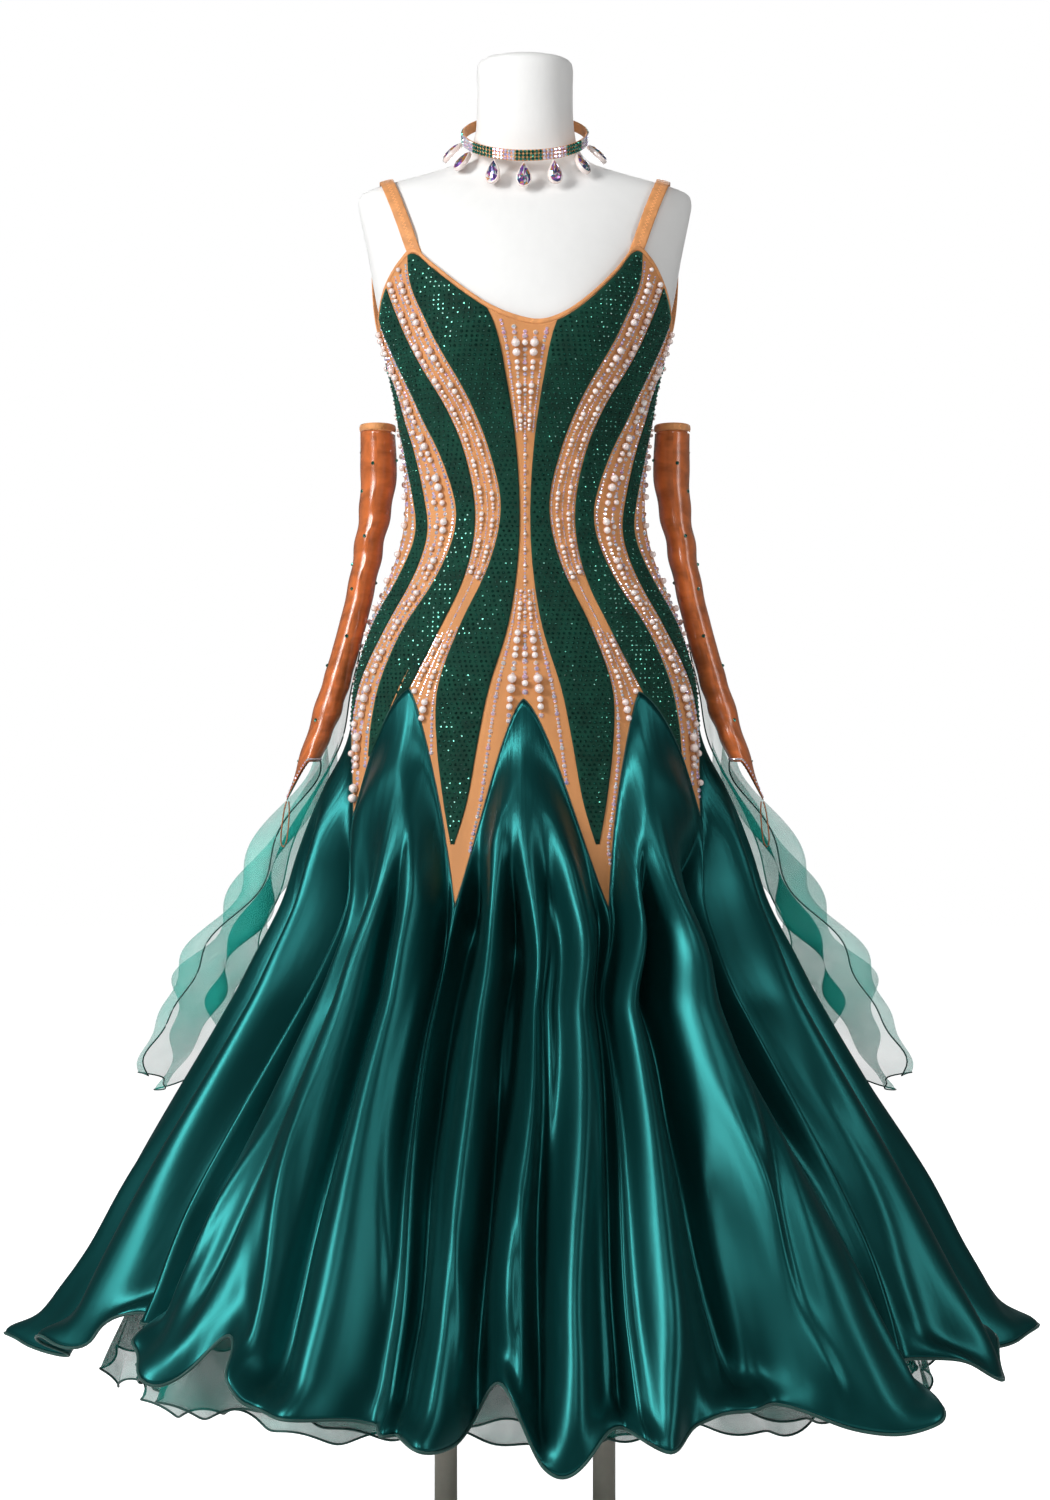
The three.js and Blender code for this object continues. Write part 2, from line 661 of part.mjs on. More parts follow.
function addForm() {
  const heights = SHOULDERS.map((row) => row.z);
  for (let z = 1440; z > 880; z -= 40) {
    heights.push(z);
  }
  heights.push(850, 790, 740, FORM_BOTTOM);
  const all = [...SHOULDERS, ...BODY.filter((row) => row.z > 840)];
  all.push({ z: 790, width: 183, front: 117, back: 124 });
  all.push({ z: 740, width: 172, front: 112, back: 118 });
  all.push({ z: FORM_BOTTOM, width: 160, front: 104, back: 110 });
  const width = curve(all, 'z', 'width');
  const front = curve(all, 'z', 'front');
  const back = curve(all, 'z', 'back');
  const sides = 30;
  const positions = [];
  for (const z of heights) {
    for (let j = 0; j < sides; j += 1) {
      const angle = (360 * j) / sides;
      const [x, y] = ringPoint(width(z), front(z), back(z), angle, bustOut(signedAngle(angle), z) - FORM_EASE);
      positions.push(x, y, z);
    }
  }
  const index = [];
  for (let i = 0; i + 1 < heights.length; i += 1) {
    for (let j = 0; j < sides; j += 1) {
      const k = (j + 1) % sides;
      const a = i * sides;
      const b = a + sides;
      index.push(a + j, b + j, b + k, a + j, b + k, a + k);
    }
  }
  const topCentre = positions.length / 3;
  positions.push(0, 0, heights[0] + 1.5);
  const bottomCentre = topCentre + 1;
  positions.push(0, 0, FORM_BOTTOM);
  const last = (heights.length - 1) * sides;
  for (let j = 0; j < sides; j += 1) {
    const k = (j + 1) % sides;
    index.push(topCentre, j, k);
    index.push(bottomCentre, last + k, last + j);
  }
  const geometry = new THREE.BufferGeometry();
  geometry.setAttribute('position', new THREE.Float32BufferAttribute(positions, 3));
  geometry.setIndex(index);
  geometry.computeVertexNormals();
  add('dress_form', geometry, FORM);
}

// ---- bodice ----
const topEdge = curve(TOP_EDGE, 'angle', 'z', 360);

// Columns of the bodice stand over the columns of the godets, so that both meet point for point.
function bodiceColumns() {
  const columns = [];
  GODETS.forEach((godet, index) => {
    for (let j = 0; j < GORE_COLUMNS; j += 1) {
      const u = -1 + (2 * j) / GORE_COLUMNS;
      const tip = archHeight(index, u);
      columns.push({ angle: godetAngle(index, u, 900), bottom: tip + SEAM_GAP });
    }
  });
  return columns;
}

const COLUMNS = bodiceColumns();
const columnAngle = (k) => COLUMNS[k % COLUMNS.length].angle + (k >= COLUMNS.length ? 360 : 0);
const columnBottom = (k) => COLUMNS[k % COLUMNS.length].bottom;

// The side seams are put at the column nearest to 90 degrees on each side.
function nearestColumn(angle) {
  let best = 0;
  for (let k = 0; k < COLUMNS.length; k += 1) {
    if (Math.abs(columnAngle(k) - angle) < Math.abs(columnAngle(best) - angle)) {
      best = k;
    }
  }
  return best;
}
const SIDE_RIGHT = nearestColumn(90);
const SIDE_LEFT = nearestColumn(270);

function bodicePanel(fromColumn, toColumn, wall, edge) {
  const across = toColumn - fromColumn;
  const point = (out) => (i, j) => {
    const k = fromColumn + Math.round(j * across);
    let angle = columnAngle(k);
    if (j === 0) {
      angle += edge;
    }
    if (j === 1) {
      angle -= edge;
    }
    const z = lerp(topEdge(columnAngle(k)), columnBottom(k), i ** BODICE_SPACING);
    return bodyPoint(angle, z, out);
  };
  return wallGeometry(BODICE_ROWS, across, false, point(wall.inner), point(wall.outer));
}

const FRONT = { from: SIDE_LEFT, to: SIDE_RIGHT + COLUMNS.length };
const BACK = { from: SIDE_RIGHT, to: SIDE_LEFT };

// A radial cutter that follows a panel's line and width down the body.
function panelCutter(rows, sign, turned) {
  const centre = curve(rows, 'z', 'centre');
  const half = curve(rows, 'z', 'half');
  const top = rows[0].z;
  const bottom = rows[rows.length - 1].z;
  const place = (angle, radius, z) => {
    const a = angle * degrees;
    return [radius * Math.sin(a), -radius * CUTTER.flatness * Math.cos(a), z];
  };
  const point = (radius) => (i, j) => {
    const z = lerp(top, bottom, i);
    const bend = centre(z) + (2 * j - 1) * Math.max(LEAST_HALF_PANEL, half(z));
    const angle = turned ? 180 - bend : bend;
    return place(sign * angle, radius, z);
  };
  const flip = (sign < 0) !== turned;
  const ordered = (radius) => (i, j) => point(radius)(i, flip ? 1 - j : j);
  return toSolid(wallGeometry(CUTTER.steps, 1, false, ordered(CUTTER.inner), ordered(CUTTER.outer)));
}

function addBodice() {
  add('bodice_front_mesh', bodicePanel(FRONT.from, FRONT.to, MESH_WALL, 0.1), MESH);
  add('bodice_back_mesh', bodicePanel(BACK.from, BACK.to, MESH_WALL, 0.1), MESH);
  const frontSkin = toSolid(bodicePanel(FRONT.from, FRONT.to, VELVET_WALL, 0.1));
  const backSkin = toSolid(bodicePanel(BACK.from, BACK.to, VELVET_WALL, 0.1));
  for (const panel of PANELS) {
    for (const [side, sign] of [['right', 1], ['left', -1]]) {
      const cutter = panelCutter(panel.rows, sign, panel.back);
      const skin = panel.back ? backSkin : frontSkin;
      const piece = skin.intersect(cutter);
      add(`${panel.name}_${side}`, fromSolid(piece), VELVET);
    }
  }
}

// Binding on top of the bodice's upper edge, in one ring.
function addBinding() {
  const point = (out) => (i, j) => {
    const k = Math.round(j * COLUMNS.length) % COLUMNS.length;
    const angle = columnAngle(k);
    const z = topEdge(angle) + SEAM_GAP + BINDING_HEIGHT * (1 - i);
    return bodyPoint(angle, z, out);
  };
  add('neckline_binding', wallGeometry(1, COLUMNS.length, true, point(0.9), point(3.0)), MESH);
}

// A station of the strap's route, put on the form's surface by the oval section at its height.
function strapStation({ x, z, face }) {
  const rows = [...SHOULDERS, ...BODY];
  const width = curve(rows, 'z', 'width')(z);
  const depth = curve(rows, 'z', face < 0 ? 'front' : 'back')(z);
  const share = Math.sqrt(Math.max(0, 1 - (x / width) ** 2));
  return new THREE.Vector3(x, face * depth * share, z);
}

// A flat strap carried along a path over the shoulder, its width held level with the body.
function addStraps() {
  for (const [name, sign] of [['strap_left', -1], ['strap_right', 1]]) {
    const path = new THREE.CatmullRomCurve3(STRAP.map(strapStation), false, 'centripetal');
    const steps = 16;
    const frame = (i) => {
      const at = path.getPointAt(i);
      const along = path.getTangentAt(i);
      const middle = new THREE.Vector3(at.x * STRAP_CENTRE.across, 0, STRAP_CENTRE.z);
      const away = at.clone().sub(middle);
      away.addScaledVector(along, -away.dot(along)).normalize();
      const side = new THREE.Vector3().crossVectors(along, away).normalize();
      return { at, away, side };
    };
    const point = (out) => (i, j) => {
      const { at, away, side } = frame(i);
      const p = at.clone().addScaledVector(away, STRAP_LIFT + out).addScaledVector(side, (0.5 - j) * STRAP_WIDTH);
      return [sign * p.x, p.y, p.z];
    };
    const ordered = (out) => (i, j) => point(out)(i, sign < 0 ? 1 - j : j);
    add(name, wallGeometry(steps, 1, false, ordered(0), ordered(STRAP_THICK)), MESH);
  }
}

// ---- skirt ----
function addGodets() {
  GODETS.forEach((godet, index) => {
    const point = (out) => (i, j) => {
      const u = -1 + 2 * j;
      const [x, y, z] = godetPoint(index, u, i, out);
      if (j > 0 && j < 1) {
        const surface = (a, b) => godetPoint(index, -1 + 2 * b, a, 0);
        const p = new THREE.Vector3(...surface(i, j)).addScaledVector(squareTo(surface, i, j), out);
        const share = ease(i / 0.15);
        return [lerp(x, p.x, share), lerp(y, p.y, share), lerp(z, p.z, share)];
      }
      const inward = godetPoint(index, u * 0.98, i, out);
      const length = Math.hypot(inward[0] - x, inward[1] - y);
      const t = (SEAM_GAP * 0.6) / length;
      return [lerp(x, inward[0], t), lerp(y, inward[1], t), z];
    };
    const geometry = wallGeometry(GORE_ROWS, GORE_COLUMNS, false, point(SATIN_WALL.inner), point(SATIN_WALL.outer));
    add(godet.name, geometry, SATIN);
  });
}

// An organza ring inside the satin, waved, reaching a little lower than the satin hem.
const UNDERSKIRTS = [
  { name: 'organza_underskirt_upper', top: 420, drop: 10, inset: 34, waves: 12, wave: 9, turn: 3, lift: 9 },
  { name: 'organza_underskirt_lower', top: 400, drop: 24, inset: 62, waves: 11, wave: 9, turn: 11, lift: 8 },
];

function addUnderskirts() {
  for (const layer of UNDERSKIRTS) {
    const point = (out) => (i, j) => {
      const angle = 360 * j;
      const phase = (angle + layer.turn) * degrees * layer.waves;
      const bottom = 214 - layer.drop + layer.lift * Math.cos(phase);
      const z = lerp(layer.top, bottom, i);
      const wave = layer.wave * Math.sin(phase) * i * i;
      const lift = wave - layer.inset + out;
      const [x, y] = ringPoint(bodyWidth(z), bodyFront(z), bodyBack(z), angle, lift);
      return [x, y, z];
    };
    add(layer.name, wallGeometry(2, 48, true, point(0), point(ORGANZA_WALL)), ORGANZA);
  }
}

// ---- mitts ----
const mittX = curve(MITT, 'z', 'x');
const mittY = curve(MITT, 'z', 'y');
const mittAcross = curve(MITT, 'z', 'across');
const mittDeep = curve(MITT, 'z', 'deep');

function mittPoint(side, z, around, out) {
  const a = around * 2 * Math.PI;
  const x = mittX(z) + (mittAcross(z) + out) * Math.sin(a);
  const y = mittY(z) - (mittDeep(z) + out) * Math.cos(a);
  return [side * x, y, z];
}

function addMitts() {
  const top = MITT[0].z;
  const bottom = MITT[MITT.length - 1].z;
  for (const [name, side] of [['left', -1], ['right', 1]]) {
    const around = (j) => (side < 0 ? 1 - j : j);
    const sleeve = (out) => (i, j) => {
      const [x, y, z] = mittPoint(side, lerp(top, bottom, i), around(j), out);
      const point = Math.max(0, Math.sin(around(j) * 2 * Math.PI)) ** 1.5;
      const low = ease((i - 0.75) / 0.25) * point;
      return [x + side * MITT_POINT.out * low, y, z - MITT_POINT.drop * low];
    };
    add(`mitt_${name}`, wallGeometry(MITT_ROWS, MITT_SIDES, true, sleeve(0), sleeve(MITT_WALL)), MITT_MESH);
    const cuff = (out) => (i, j) => {
      const level = top + SEAM_GAP + CUFF_HEIGHT * (1 - i);
      const [x, y] = mittPoint(side, top, around(j), out);
      return [x, y, level];
    };
    add(`mitt_${name}_top_band`, wallGeometry(1, MITT_SIDES, true, cuff(-0.6), cuff(2.0)), MITT_MESH);
    const tipX = mittX(bottom) + mittAcross(bottom) + MITT_POINT.out;
    const tipZ = bottom - MITT_POINT.drop - 1.6;
    add(`mitt_${name}_finger_loop`, loopGeometry(side, tipX, mittY(bottom), tipZ), ELASTIC);
  }
}

// A narrow loop of elastic cord that hangs from the point of a mitt, as one bent round bar.
function loopGeometry(side, x, y, z) {
  const points = LOOP_ROUTE.map((row) => {
    return new THREE.Vector3(side * (x - LOOP.lean * row.drop + row.side), y, z + row.drop);
  });
  const path = new THREE.CatmullRomCurve3(points, false, 'centripetal');
  const section = new THREE.Shape();
  section.absarc(0, 0, LOOP.thick / 2, 0, 2 * Math.PI);
  return new THREE.ExtrudeGeometry(section, { extrudePath: path, steps: 20, curveSegments: 4, bevelEnabled: false });
}

// ---- floats ----
const floatNear = curve(FLOAT, 'z', 'near');
const floatFar = curve(FLOAT, 'z', 'far');
const floatStart = curve(FLOAT, 'z', 'start');
const floatEnd = curve(FLOAT, 'z', 'end');

// Outermost reach of the satin at a height, on its widest crest.
const skirtReach = (z) => fullness(z) * 1.08;

// The narrow upper part hangs behind the mitt; the lower part lies over the satin in upright waves.
function floatPoint(i, across) {
  const bottom = FLOAT[FLOAT.length - 1].z;
  const ripple = Math.sin(across * FLOAT_RIPPLE.across + FLOAT_RIPPLE.start);
  const z = lerp(FLOAT_TOP, bottom, i) + FLOAT_RIPPLE.height * ripple * i;
  const turn = 2 * Math.PI * FLOAT_WAVES * across + FLOAT_RIPPLE.twist * i;
  const wave = 0.5 - 0.5 * Math.cos(turn);
  const left = mittX(z) - mittAcross(z) - FLOAT_BEHIND.inner;
  const right = mittX(z) + mittAcross(z) - FLOAT_BEHIND.outer;
  const behind = mittY(z) + mittDeep(z) + FLOAT_BEHIND.gap + FLOAT_BEHIND.wave * wave;
  const angle = lerp(floatStart(z), floatEnd(z), across);
  const lift = skirtReach(z) + lerp(floatNear(z), floatFar(z), wave);
  const [x, y] = ringPoint(bodyWidth(z), bodyFront(z), bodyBack(z), angle, lift);
  const low = ease((FLOAT_JOIN.z - z) / FLOAT_JOIN.length);
  return [lerp(lerp(right, left, across), x, low), lerp(behind, y, low), z];
}

function addFloats() {
  for (const [name, side] of [['organza_float_left', -1], ['organza_float_right', 1]]) {
    const surface = (i, j) => {
      const [x, y, z] = floatPoint(i, side < 0 ? 1 - j : j);
      return [side * x, y, z];
    };
    const point = (out) => (i, j) => {
      const p = new THREE.Vector3(...surface(i, j)).addScaledVector(squareTo(surface, i, j), out);
      return [p.x, p.y, p.z];
    };
    add(name, wallGeometry(FLOAT_ROWS, FLOAT_COLUMNS, false, point(0), point(ORGANZA_WALL)), ORGANZA);
  }
}

// ---- neckband ----
function neckbandPoint(angle, out) {
  const a = angle * degrees;
  const x = (NECKBAND.across + out) * Math.sin(a);
  const y = NECKBAND.y - (NECKBAND.deep + out) * Math.cos(a);
  return { x, y, z: NECKBAND.z + NECKBAND.rise * y };
}

function addNeckband() {
  const point = (out) => (i, j) => {
    const p = neckbandPoint(360 * j, out);
    return [p.x, p.y, p.z + BAND_HEIGHT * (0.5 - i)];
  };
  add('neckband', wallGeometry(1, 32, true, point(0), point(NECKBAND.wall)), MESH);
  const outline = new THREE.Shape();
  const r = DROP.half;
  outline.moveTo(0, 0);
  outline.quadraticCurveTo(-r * 0.55, -DROP.long * 0.35, -r, -DROP.long + r);
  outline.absarc(0, -DROP.long + r, r, Math.PI, 2 * Math.PI);
  outline.quadraticCurveTo(r * 0.55, -DROP.long * 0.35, 0, 0);
  DROPS.forEach(({ angle, swing }, k) => {
    const drop = new THREE.ExtrudeGeometry(outline, { depth: DROP.thick, bevelEnabled: false, curveSegments: 5 });
    drop.rotateX(Math.PI / 2);
    drop.translate(0, DROP.thick / 2, 0);
    drop.rotateX(-swing * degrees);
    drop.rotateZ(angle * degrees);
    const p = neckbandPoint(angle, NECKBAND.wall + 1);
    add(`neckband_drop_${k + 1}`, drop, CRYSTAL, p.x, p.y, p.z - BAND_HEIGHT / 2 - DROP.gap);
  });
}

addStand();
addForm();
addBodice();
addBinding();
addStraps();
addGodets();
addUnderskirts();
addMitts();
addFloats();
addNeckband();

export default dress;
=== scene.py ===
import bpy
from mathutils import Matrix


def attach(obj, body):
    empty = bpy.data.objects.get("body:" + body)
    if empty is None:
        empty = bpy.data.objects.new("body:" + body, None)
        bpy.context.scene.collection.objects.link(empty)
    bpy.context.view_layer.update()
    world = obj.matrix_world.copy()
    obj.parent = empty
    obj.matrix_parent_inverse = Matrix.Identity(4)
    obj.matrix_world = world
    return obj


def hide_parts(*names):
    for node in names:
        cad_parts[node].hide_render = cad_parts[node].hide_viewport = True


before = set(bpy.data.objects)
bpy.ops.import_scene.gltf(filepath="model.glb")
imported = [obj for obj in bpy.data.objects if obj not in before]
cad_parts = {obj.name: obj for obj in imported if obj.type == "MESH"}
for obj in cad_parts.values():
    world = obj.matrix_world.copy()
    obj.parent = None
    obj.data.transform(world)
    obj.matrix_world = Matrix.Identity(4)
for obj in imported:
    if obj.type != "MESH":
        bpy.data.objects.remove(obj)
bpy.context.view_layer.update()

import math

import bpy
import numpy as np
from mathutils import Vector

# A ballroom dance dress on a limbless dress form. Tables and formulas are in millimetres, with the
# front towards -Y and +Z up; meshes are in metres. Angles run round the body from the middle of the
# front (0) over the right of the picture (90) to the middle of the back (180).

bl_info = {
    "name": "Ballroom dress",
    "version": (1, 0, 0),
    "blender": (4, 5, 0),
    "location": "3D View > Sidebar > Ballroom dress",
    "description": "Builds a ballroom dance dress on its dress form, piece by piece",
    "category": "Add Mesh",
}

MM = 0.001
SEED = 7
FINISH = "_finish"


def table(columns, rows):
    """A table with named columns, held as one array for each column."""
    return dict(zip(columns.split(), np.array(rows, float).T))


# ---- sizes of the body and the dress ----
BODY = table("z width front back", [
    (1440, 181, 94, 97), (1410, 175, 107, 101), (1380, 170, 117, 102), (1350, 164, 122, 101),
    (1326, 158, 122, 99), (1291, 148, 118, 96), (1260, 141, 111, 93), (1230, 137, 104, 90),
    (1205, 133, 98, 88), (1165, 130, 92, 86), (1132, 130, 90, 87), (1104, 134, 91, 90),
    (1075, 143, 94, 95), (1050, 153, 98, 101), (1018, 166, 104, 110), (978, 178, 110, 119),
    (946, 185, 114, 124), (912, 188, 117, 127), (875, 190, 119, 129), (838, 192, 123, 132),
    (800, 196, 131, 138), (760, 203, 142, 148), (709, 216, 160, 166), (655, 246, 192, 197),
    (600, 279, 228, 232), (545, 312, 264, 267), (490, 345, 300, 302), (435, 377, 335, 336),
    (380, 407, 368, 368), (325, 435, 399, 398), (270, 460, 426, 424), (215, 480, 448, 445),
    (160, 492, 460, 457),
])
SHOULDERS = table("z width front back", [
    (1637.5, 34, 32, 34), (1634, 49, 46, 48), (1627, 56, 52, 54), (1600, 56.5, 52, 54),
    (1570, 57, 51, 54), (1545, 60, 51, 55), (1530, 66, 51, 56), (1519, 78, 52, 57),
    (1510, 104, 54, 59), (1502, 133, 57, 62), (1494, 162, 61, 67), (1486, 182, 66, 73),
    (1475, 187, 74, 81), (1460, 185, 84, 90),
])
FORM_FOOT = table("z width front back", [(790, 183, 117, 124), (740, 172, 112, 118), (704, 160, 104, 110)])
FORM_EASE = 4
BUST = {"angle": 27, "z": 1300, "spread": 19, "height": 52, "out": 13}
POST = {"x": 87, "radius": 12.5, "bottom": 8.35, "top": 703.65}

FULLNESS = table("z out", [
    (940, 2), (875, 14), (838, 26), (800, 40), (760, 50), (709, 56), (655, 54), (600, 49),
    (490, 48), (380, 48), (270, 50), (160, 50),
])
SEAM_MID = 600
SEAM_LOW = 300
SEAMS = table("tip top mid low", [
    (803, -71, -61, -61), (709, -20, -20, -15.5), (706, 24, 17, 13), (803, 75, 58, 57),
    (790, 114, 118, 121), (706, 158, 161, 164), (706, 203, 200, 197), (790, 247, 243, 240),
])
GODET_NAMES = (
    "godet_front_left", "godet_front_centre", "godet_front_right", "godet_side_right",
    "godet_back_right", "godet_back_centre", "godet_back_left", "godet_side_left",
)
GODETS = table("peak peak_z", [
    (-42, 941), (-0.5, 929), (41, 937), (94, 925), (137, 935), (180, 930), (224, 937), (267, 925),
])
# Folds of each godet: place across it (-1 to 1) at three heights, height against the fullness, width.
FOLDS = table("godet top mid low high wide", [
    (0, 0.2, 0.08, -0.02, 1.0, 0.34), (0, 0.6, 0.66, 0.58, 0.92, 0.22), (0, -0.5, -0.52, -0.5, 0.5, 0.24),
    (1, -0.36, -0.4, -0.58, 0.9, 0.2), (1, 0.0, 0.22, -0.08, 0.86, 0.18), (1, 0.48, 0.66, 0.5, 0.98, 0.25),
    (2, -0.7, -0.8, -0.76, 0.95, 0.2), (2, -0.2, 0.05, 0.38, 1.02, 0.4),
    (3, -0.6, -0.62, -0.58, 0.95, 0.24), (3, -0.05, 0.02, 0.06, 1.0, 0.3), (3, 0.55, 0.6, 0.62, 0.85, 0.24),
    (4, -0.3, -0.42, -0.5, 0.95, 0.3), (4, 0.4, 0.5, 0.45, 1.0, 0.26),
    (5, -0.5, -0.55, -0.6, 0.95, 0.24), (5, 0.05, -0.02, 0.05, 0.8, 0.22), (5, 0.5, 0.6, 0.64, 1.0, 0.24),
    (6, -0.4, -0.5, -0.46, 1.0, 0.28), (6, 0.3, 0.38, 0.48, 0.9, 0.28),
    (7, -0.55, -0.6, -0.58, 0.9, 0.22), (7, 0.02, -0.05, -0.08, 1.0, 0.32), (7, 0.6, 0.6, 0.55, 0.85, 0.22),
])
# Smaller creases: place across the godet at their top and bottom, height in mm (troughs are negative),
# width, and the heights that they run between.
CREASES = table("godet top low high wide start end", [
    (0, -0.75, -0.82, -12, 0.07, 760, 240), (0, -0.15, -0.3, -9, 0.08, 690, 300),
    (0, 0.36, 0.34, -13, 0.06, 800, 260), (0, 0.1, 0.2, 5, 0.05, 560, 230),
    (0, -0.35, -0.62, 6, 0.06, 520, 220), (0, 0.82, 0.86, 6, 0.05, 700, 330),
    (1, -0.7, -0.82, 7, 0.07, 640, 230), (1, -0.12, -0.34, -13, 0.06, 740, 260),
    (1, 0.26, 0.2, -14, 0.06, 760, 220), (1, -0.5, -0.42, 5, 0.05, 430, 215),
    (1, 0.8, 0.82, 7, 0.06, 600, 240), (1, 0.05, 0.06, 5, 0.04, 470, 230),
    (2, -0.42, -0.36, -15, 0.07, 790, 250), (2, 0.28, 0.1, -7, 0.07, 620, 300),
    (2, -0.1, 0.16, 6, 0.06, 560, 240), (2, 0.7, 0.74, -10, 0.08, 700, 280),
    (2, 0.5, 0.62, 5, 0.05, 430, 230), (3, -0.3, -0.28, -12, 0.08, 740, 260),
    (3, 0.3, 0.36, -12, 0.07, 720, 240), (3, 0.05, -0.1, 6, 0.06, 520, 230),
    (3, -0.8, -0.84, 6, 0.06, 600, 270), (3, 0.82, 0.8, 5, 0.06, 500, 240),
    (4, 0.05, 0.0, -14, 0.08, 750, 250), (4, -0.7, -0.74, -8, 0.07, 680, 270),
    (4, 0.72, 0.76, 7, 0.06, 600, 240), (4, -0.1, -0.22, 6, 0.05, 470, 230),
    (5, -0.24, -0.28, -12, 0.07, 760, 240), (5, 0.28, 0.32, -13, 0.07, 740, 260),
    (5, 0.8, 0.84, 6, 0.05, 560, 230), (5, -0.76, -0.8, 6, 0.06, 600, 250),
    (6, -0.06, 0.02, -14, 0.08, 760, 250), (6, 0.68, 0.76, -8, 0.07, 640, 270),
    (6, -0.72, -0.78, 7, 0.06, 620, 240), (6, 0.16, 0.24, 5, 0.05, 480, 230),
    (7, -0.26, -0.3, -12, 0.07, 750, 250), (7, 0.34, 0.26, -13, 0.07, 720, 240),
    (7, -0.8, -0.86, 6, 0.06, 560, 250), (7, 0.8, 0.8, -8, 0.07, 680, 280), (7, 0.1, 0.0, 6, 0.05, 500, 230),
])
HEM = table("angle z out", [
    (-88, 214, 22), (-74, 238, 4), (-58, 278, -10), (-45, 236, 16), (-38, 284, -18), (-31, 214, 10),
    (-21, 219, 0), (-14, 192, 26), (-8, 200, 8), (-3, 246, -24), (2, 174, 18), (9, 198, -6),
    (15, 188, 12), (20, 214, -16), (27, 204, 6), (34, 212, -8), (47, 188, 20), (56, 244, -14),
    (67, 212, 10), (77, 236, -4), (88, 224, 22), (101, 250, -12), (113, 206, 14), (124, 242, -10),
    (137, 200, 16), (149, 236, -14), (160, 196, 12), (171, 230, -10), (183, 190, 18), (194, 234, -12),
    (207, 200, 14), (219, 240, -12), (232, 206, 16), (246, 246, -10), (259, 216, 8),
])
HEM_REACH = 130
VALLEY_DEPTH = 0.72
HEM_CURL = {
    "reach": 62, "out": 23, "rise": 18, "mean": 0.45, "change": 0.55, "waves": 23, "start": 2.0,
    "uneven": 1.5, "slow": 5,
}
HEM_RIPPLE = {
    "reach": 190, "out": 6, "waves": 31, "start": 1.1, "small": 0.6, "small_waves": 53, "small_start": 0.4,
}
ARCH_POWER = 1.43
GODET_SETTLE = 150
GODET_RISE = 90
SEARCH_STEPS = 60
FOLD_TOP = 820
# Folds rest on a ground level and die out at the seams. Each range is a height and a distance below it.
FOLD_SHAPE = {"ground": -0.12, "swell": 2.4, "settled": 0.5, "edge": 0.12, "seam": 0.15, "seam_rise": 0.3}
FOLD_RANGES = {"grow": (860, 200), "settle": (520, 120), "seam": (700, 400)}
CREASE_SHAPE = {
    "sway": 0.02, "length": 47, "turn": 9, "fade_in": 130, "fade_out": 90, "past": 60, "edge": 0.1}
GODET_GRID = {"across": 105, "upper": 72, "lower": 18, "split": (0.86, 0.872)}
BODICE_GRID = {"down": 84, "spacing": 1.25}
PANEL_GRID = {"across": 13, "down": 72, "search": 1200}
PANEL_TRIM = {"top": 0.4, "bottom": 0.8}
LEAST_HALF = 0.5

TOP_EDGE = table("angle z", [
    (-90, 1318), (-76, 1341), (-62, 1374), (-50, 1400), (-43, 1411), (-36, 1396), (-25, 1370),
    (-14, 1347), (-4, 1334), (6, 1329), (15, 1338), (25, 1360), (35, 1389), (42, 1413), (50, 1403),
    (62, 1374), (76, 1341), (90, 1318), (104, 1310), (122, 1300), (138, 1264), (152, 1216),
    (166, 1182), (180, 1172), (194, 1182), (208, 1216), (222, 1264), (238, 1300), (256, 1310),
])
BINDING = {"height": 5.5, "out": 2.9, "wall": 2.0}
SEAM_GAP = 0.35
MESH_OUT = 2.2
VELVET_OUT = 3.3
SATIN_OUT = 2.1

# Velvet panels of one side: their middle line and half their width, in degrees round the body.
PANELS = {
    "front_inner": table("z centre half", [
        (1440, 36, 8), (1380, 33, 13), (1330, 25, 13.5), (1270, 17.5, 10), (1200, 10.5, 6.5), (1140, 7, 4.5),
        (1080, 9, 6), (1010, 15, 9), (940, 21, 9), (880, 22.5, 7), (820, 22.5, 4), (775, 22.5, 0.6)]),
    "front_outer": table("z centre half", [
        (1392, 64, 0.8), (1350, 66, 8), (1300, 59, 9), (1240, 45, 9), (1180, 34, 6.5), (1125, 29, 5),
        (1060, 33, 7), (1000, 42, 9), (940, 50, 8), (900, 56, 5), (868, 61, 0.8)]),
    "side": table("z centre half", [
        (1300, 88, 0.8), (1262, 82, 6), (1200, 71, 7), (1150, 62, 5.5), (1110, 57, 5), (1060, 61, 6.5),
        (1010, 70, 8), (960, 79, 7), (920, 84, 4), (888, 86, 0.8)]),
    "back_outer": table("z centre half", [
        (1296, 76, 0.8), (1255, 76, 7), (1190, 66, 7), (1125, 56, 5), (1060, 60, 6.5), (1000, 71, 8),
        (945, 80, 6), (900, 85, 0.8)]),
    "back_inner": table("z centre half", [
        (1262, 48, 0.8), (1220, 43, 9), (1160, 29, 8), (1100, 18, 5), (1040, 18, 7), (980, 22, 8.5),
        (920, 23, 8), (860, 22.5, 5.5), (810, 22, 3), (770, 22, 0.6)]),
}
BACK_PANELS = ("back_outer", "back_inner")

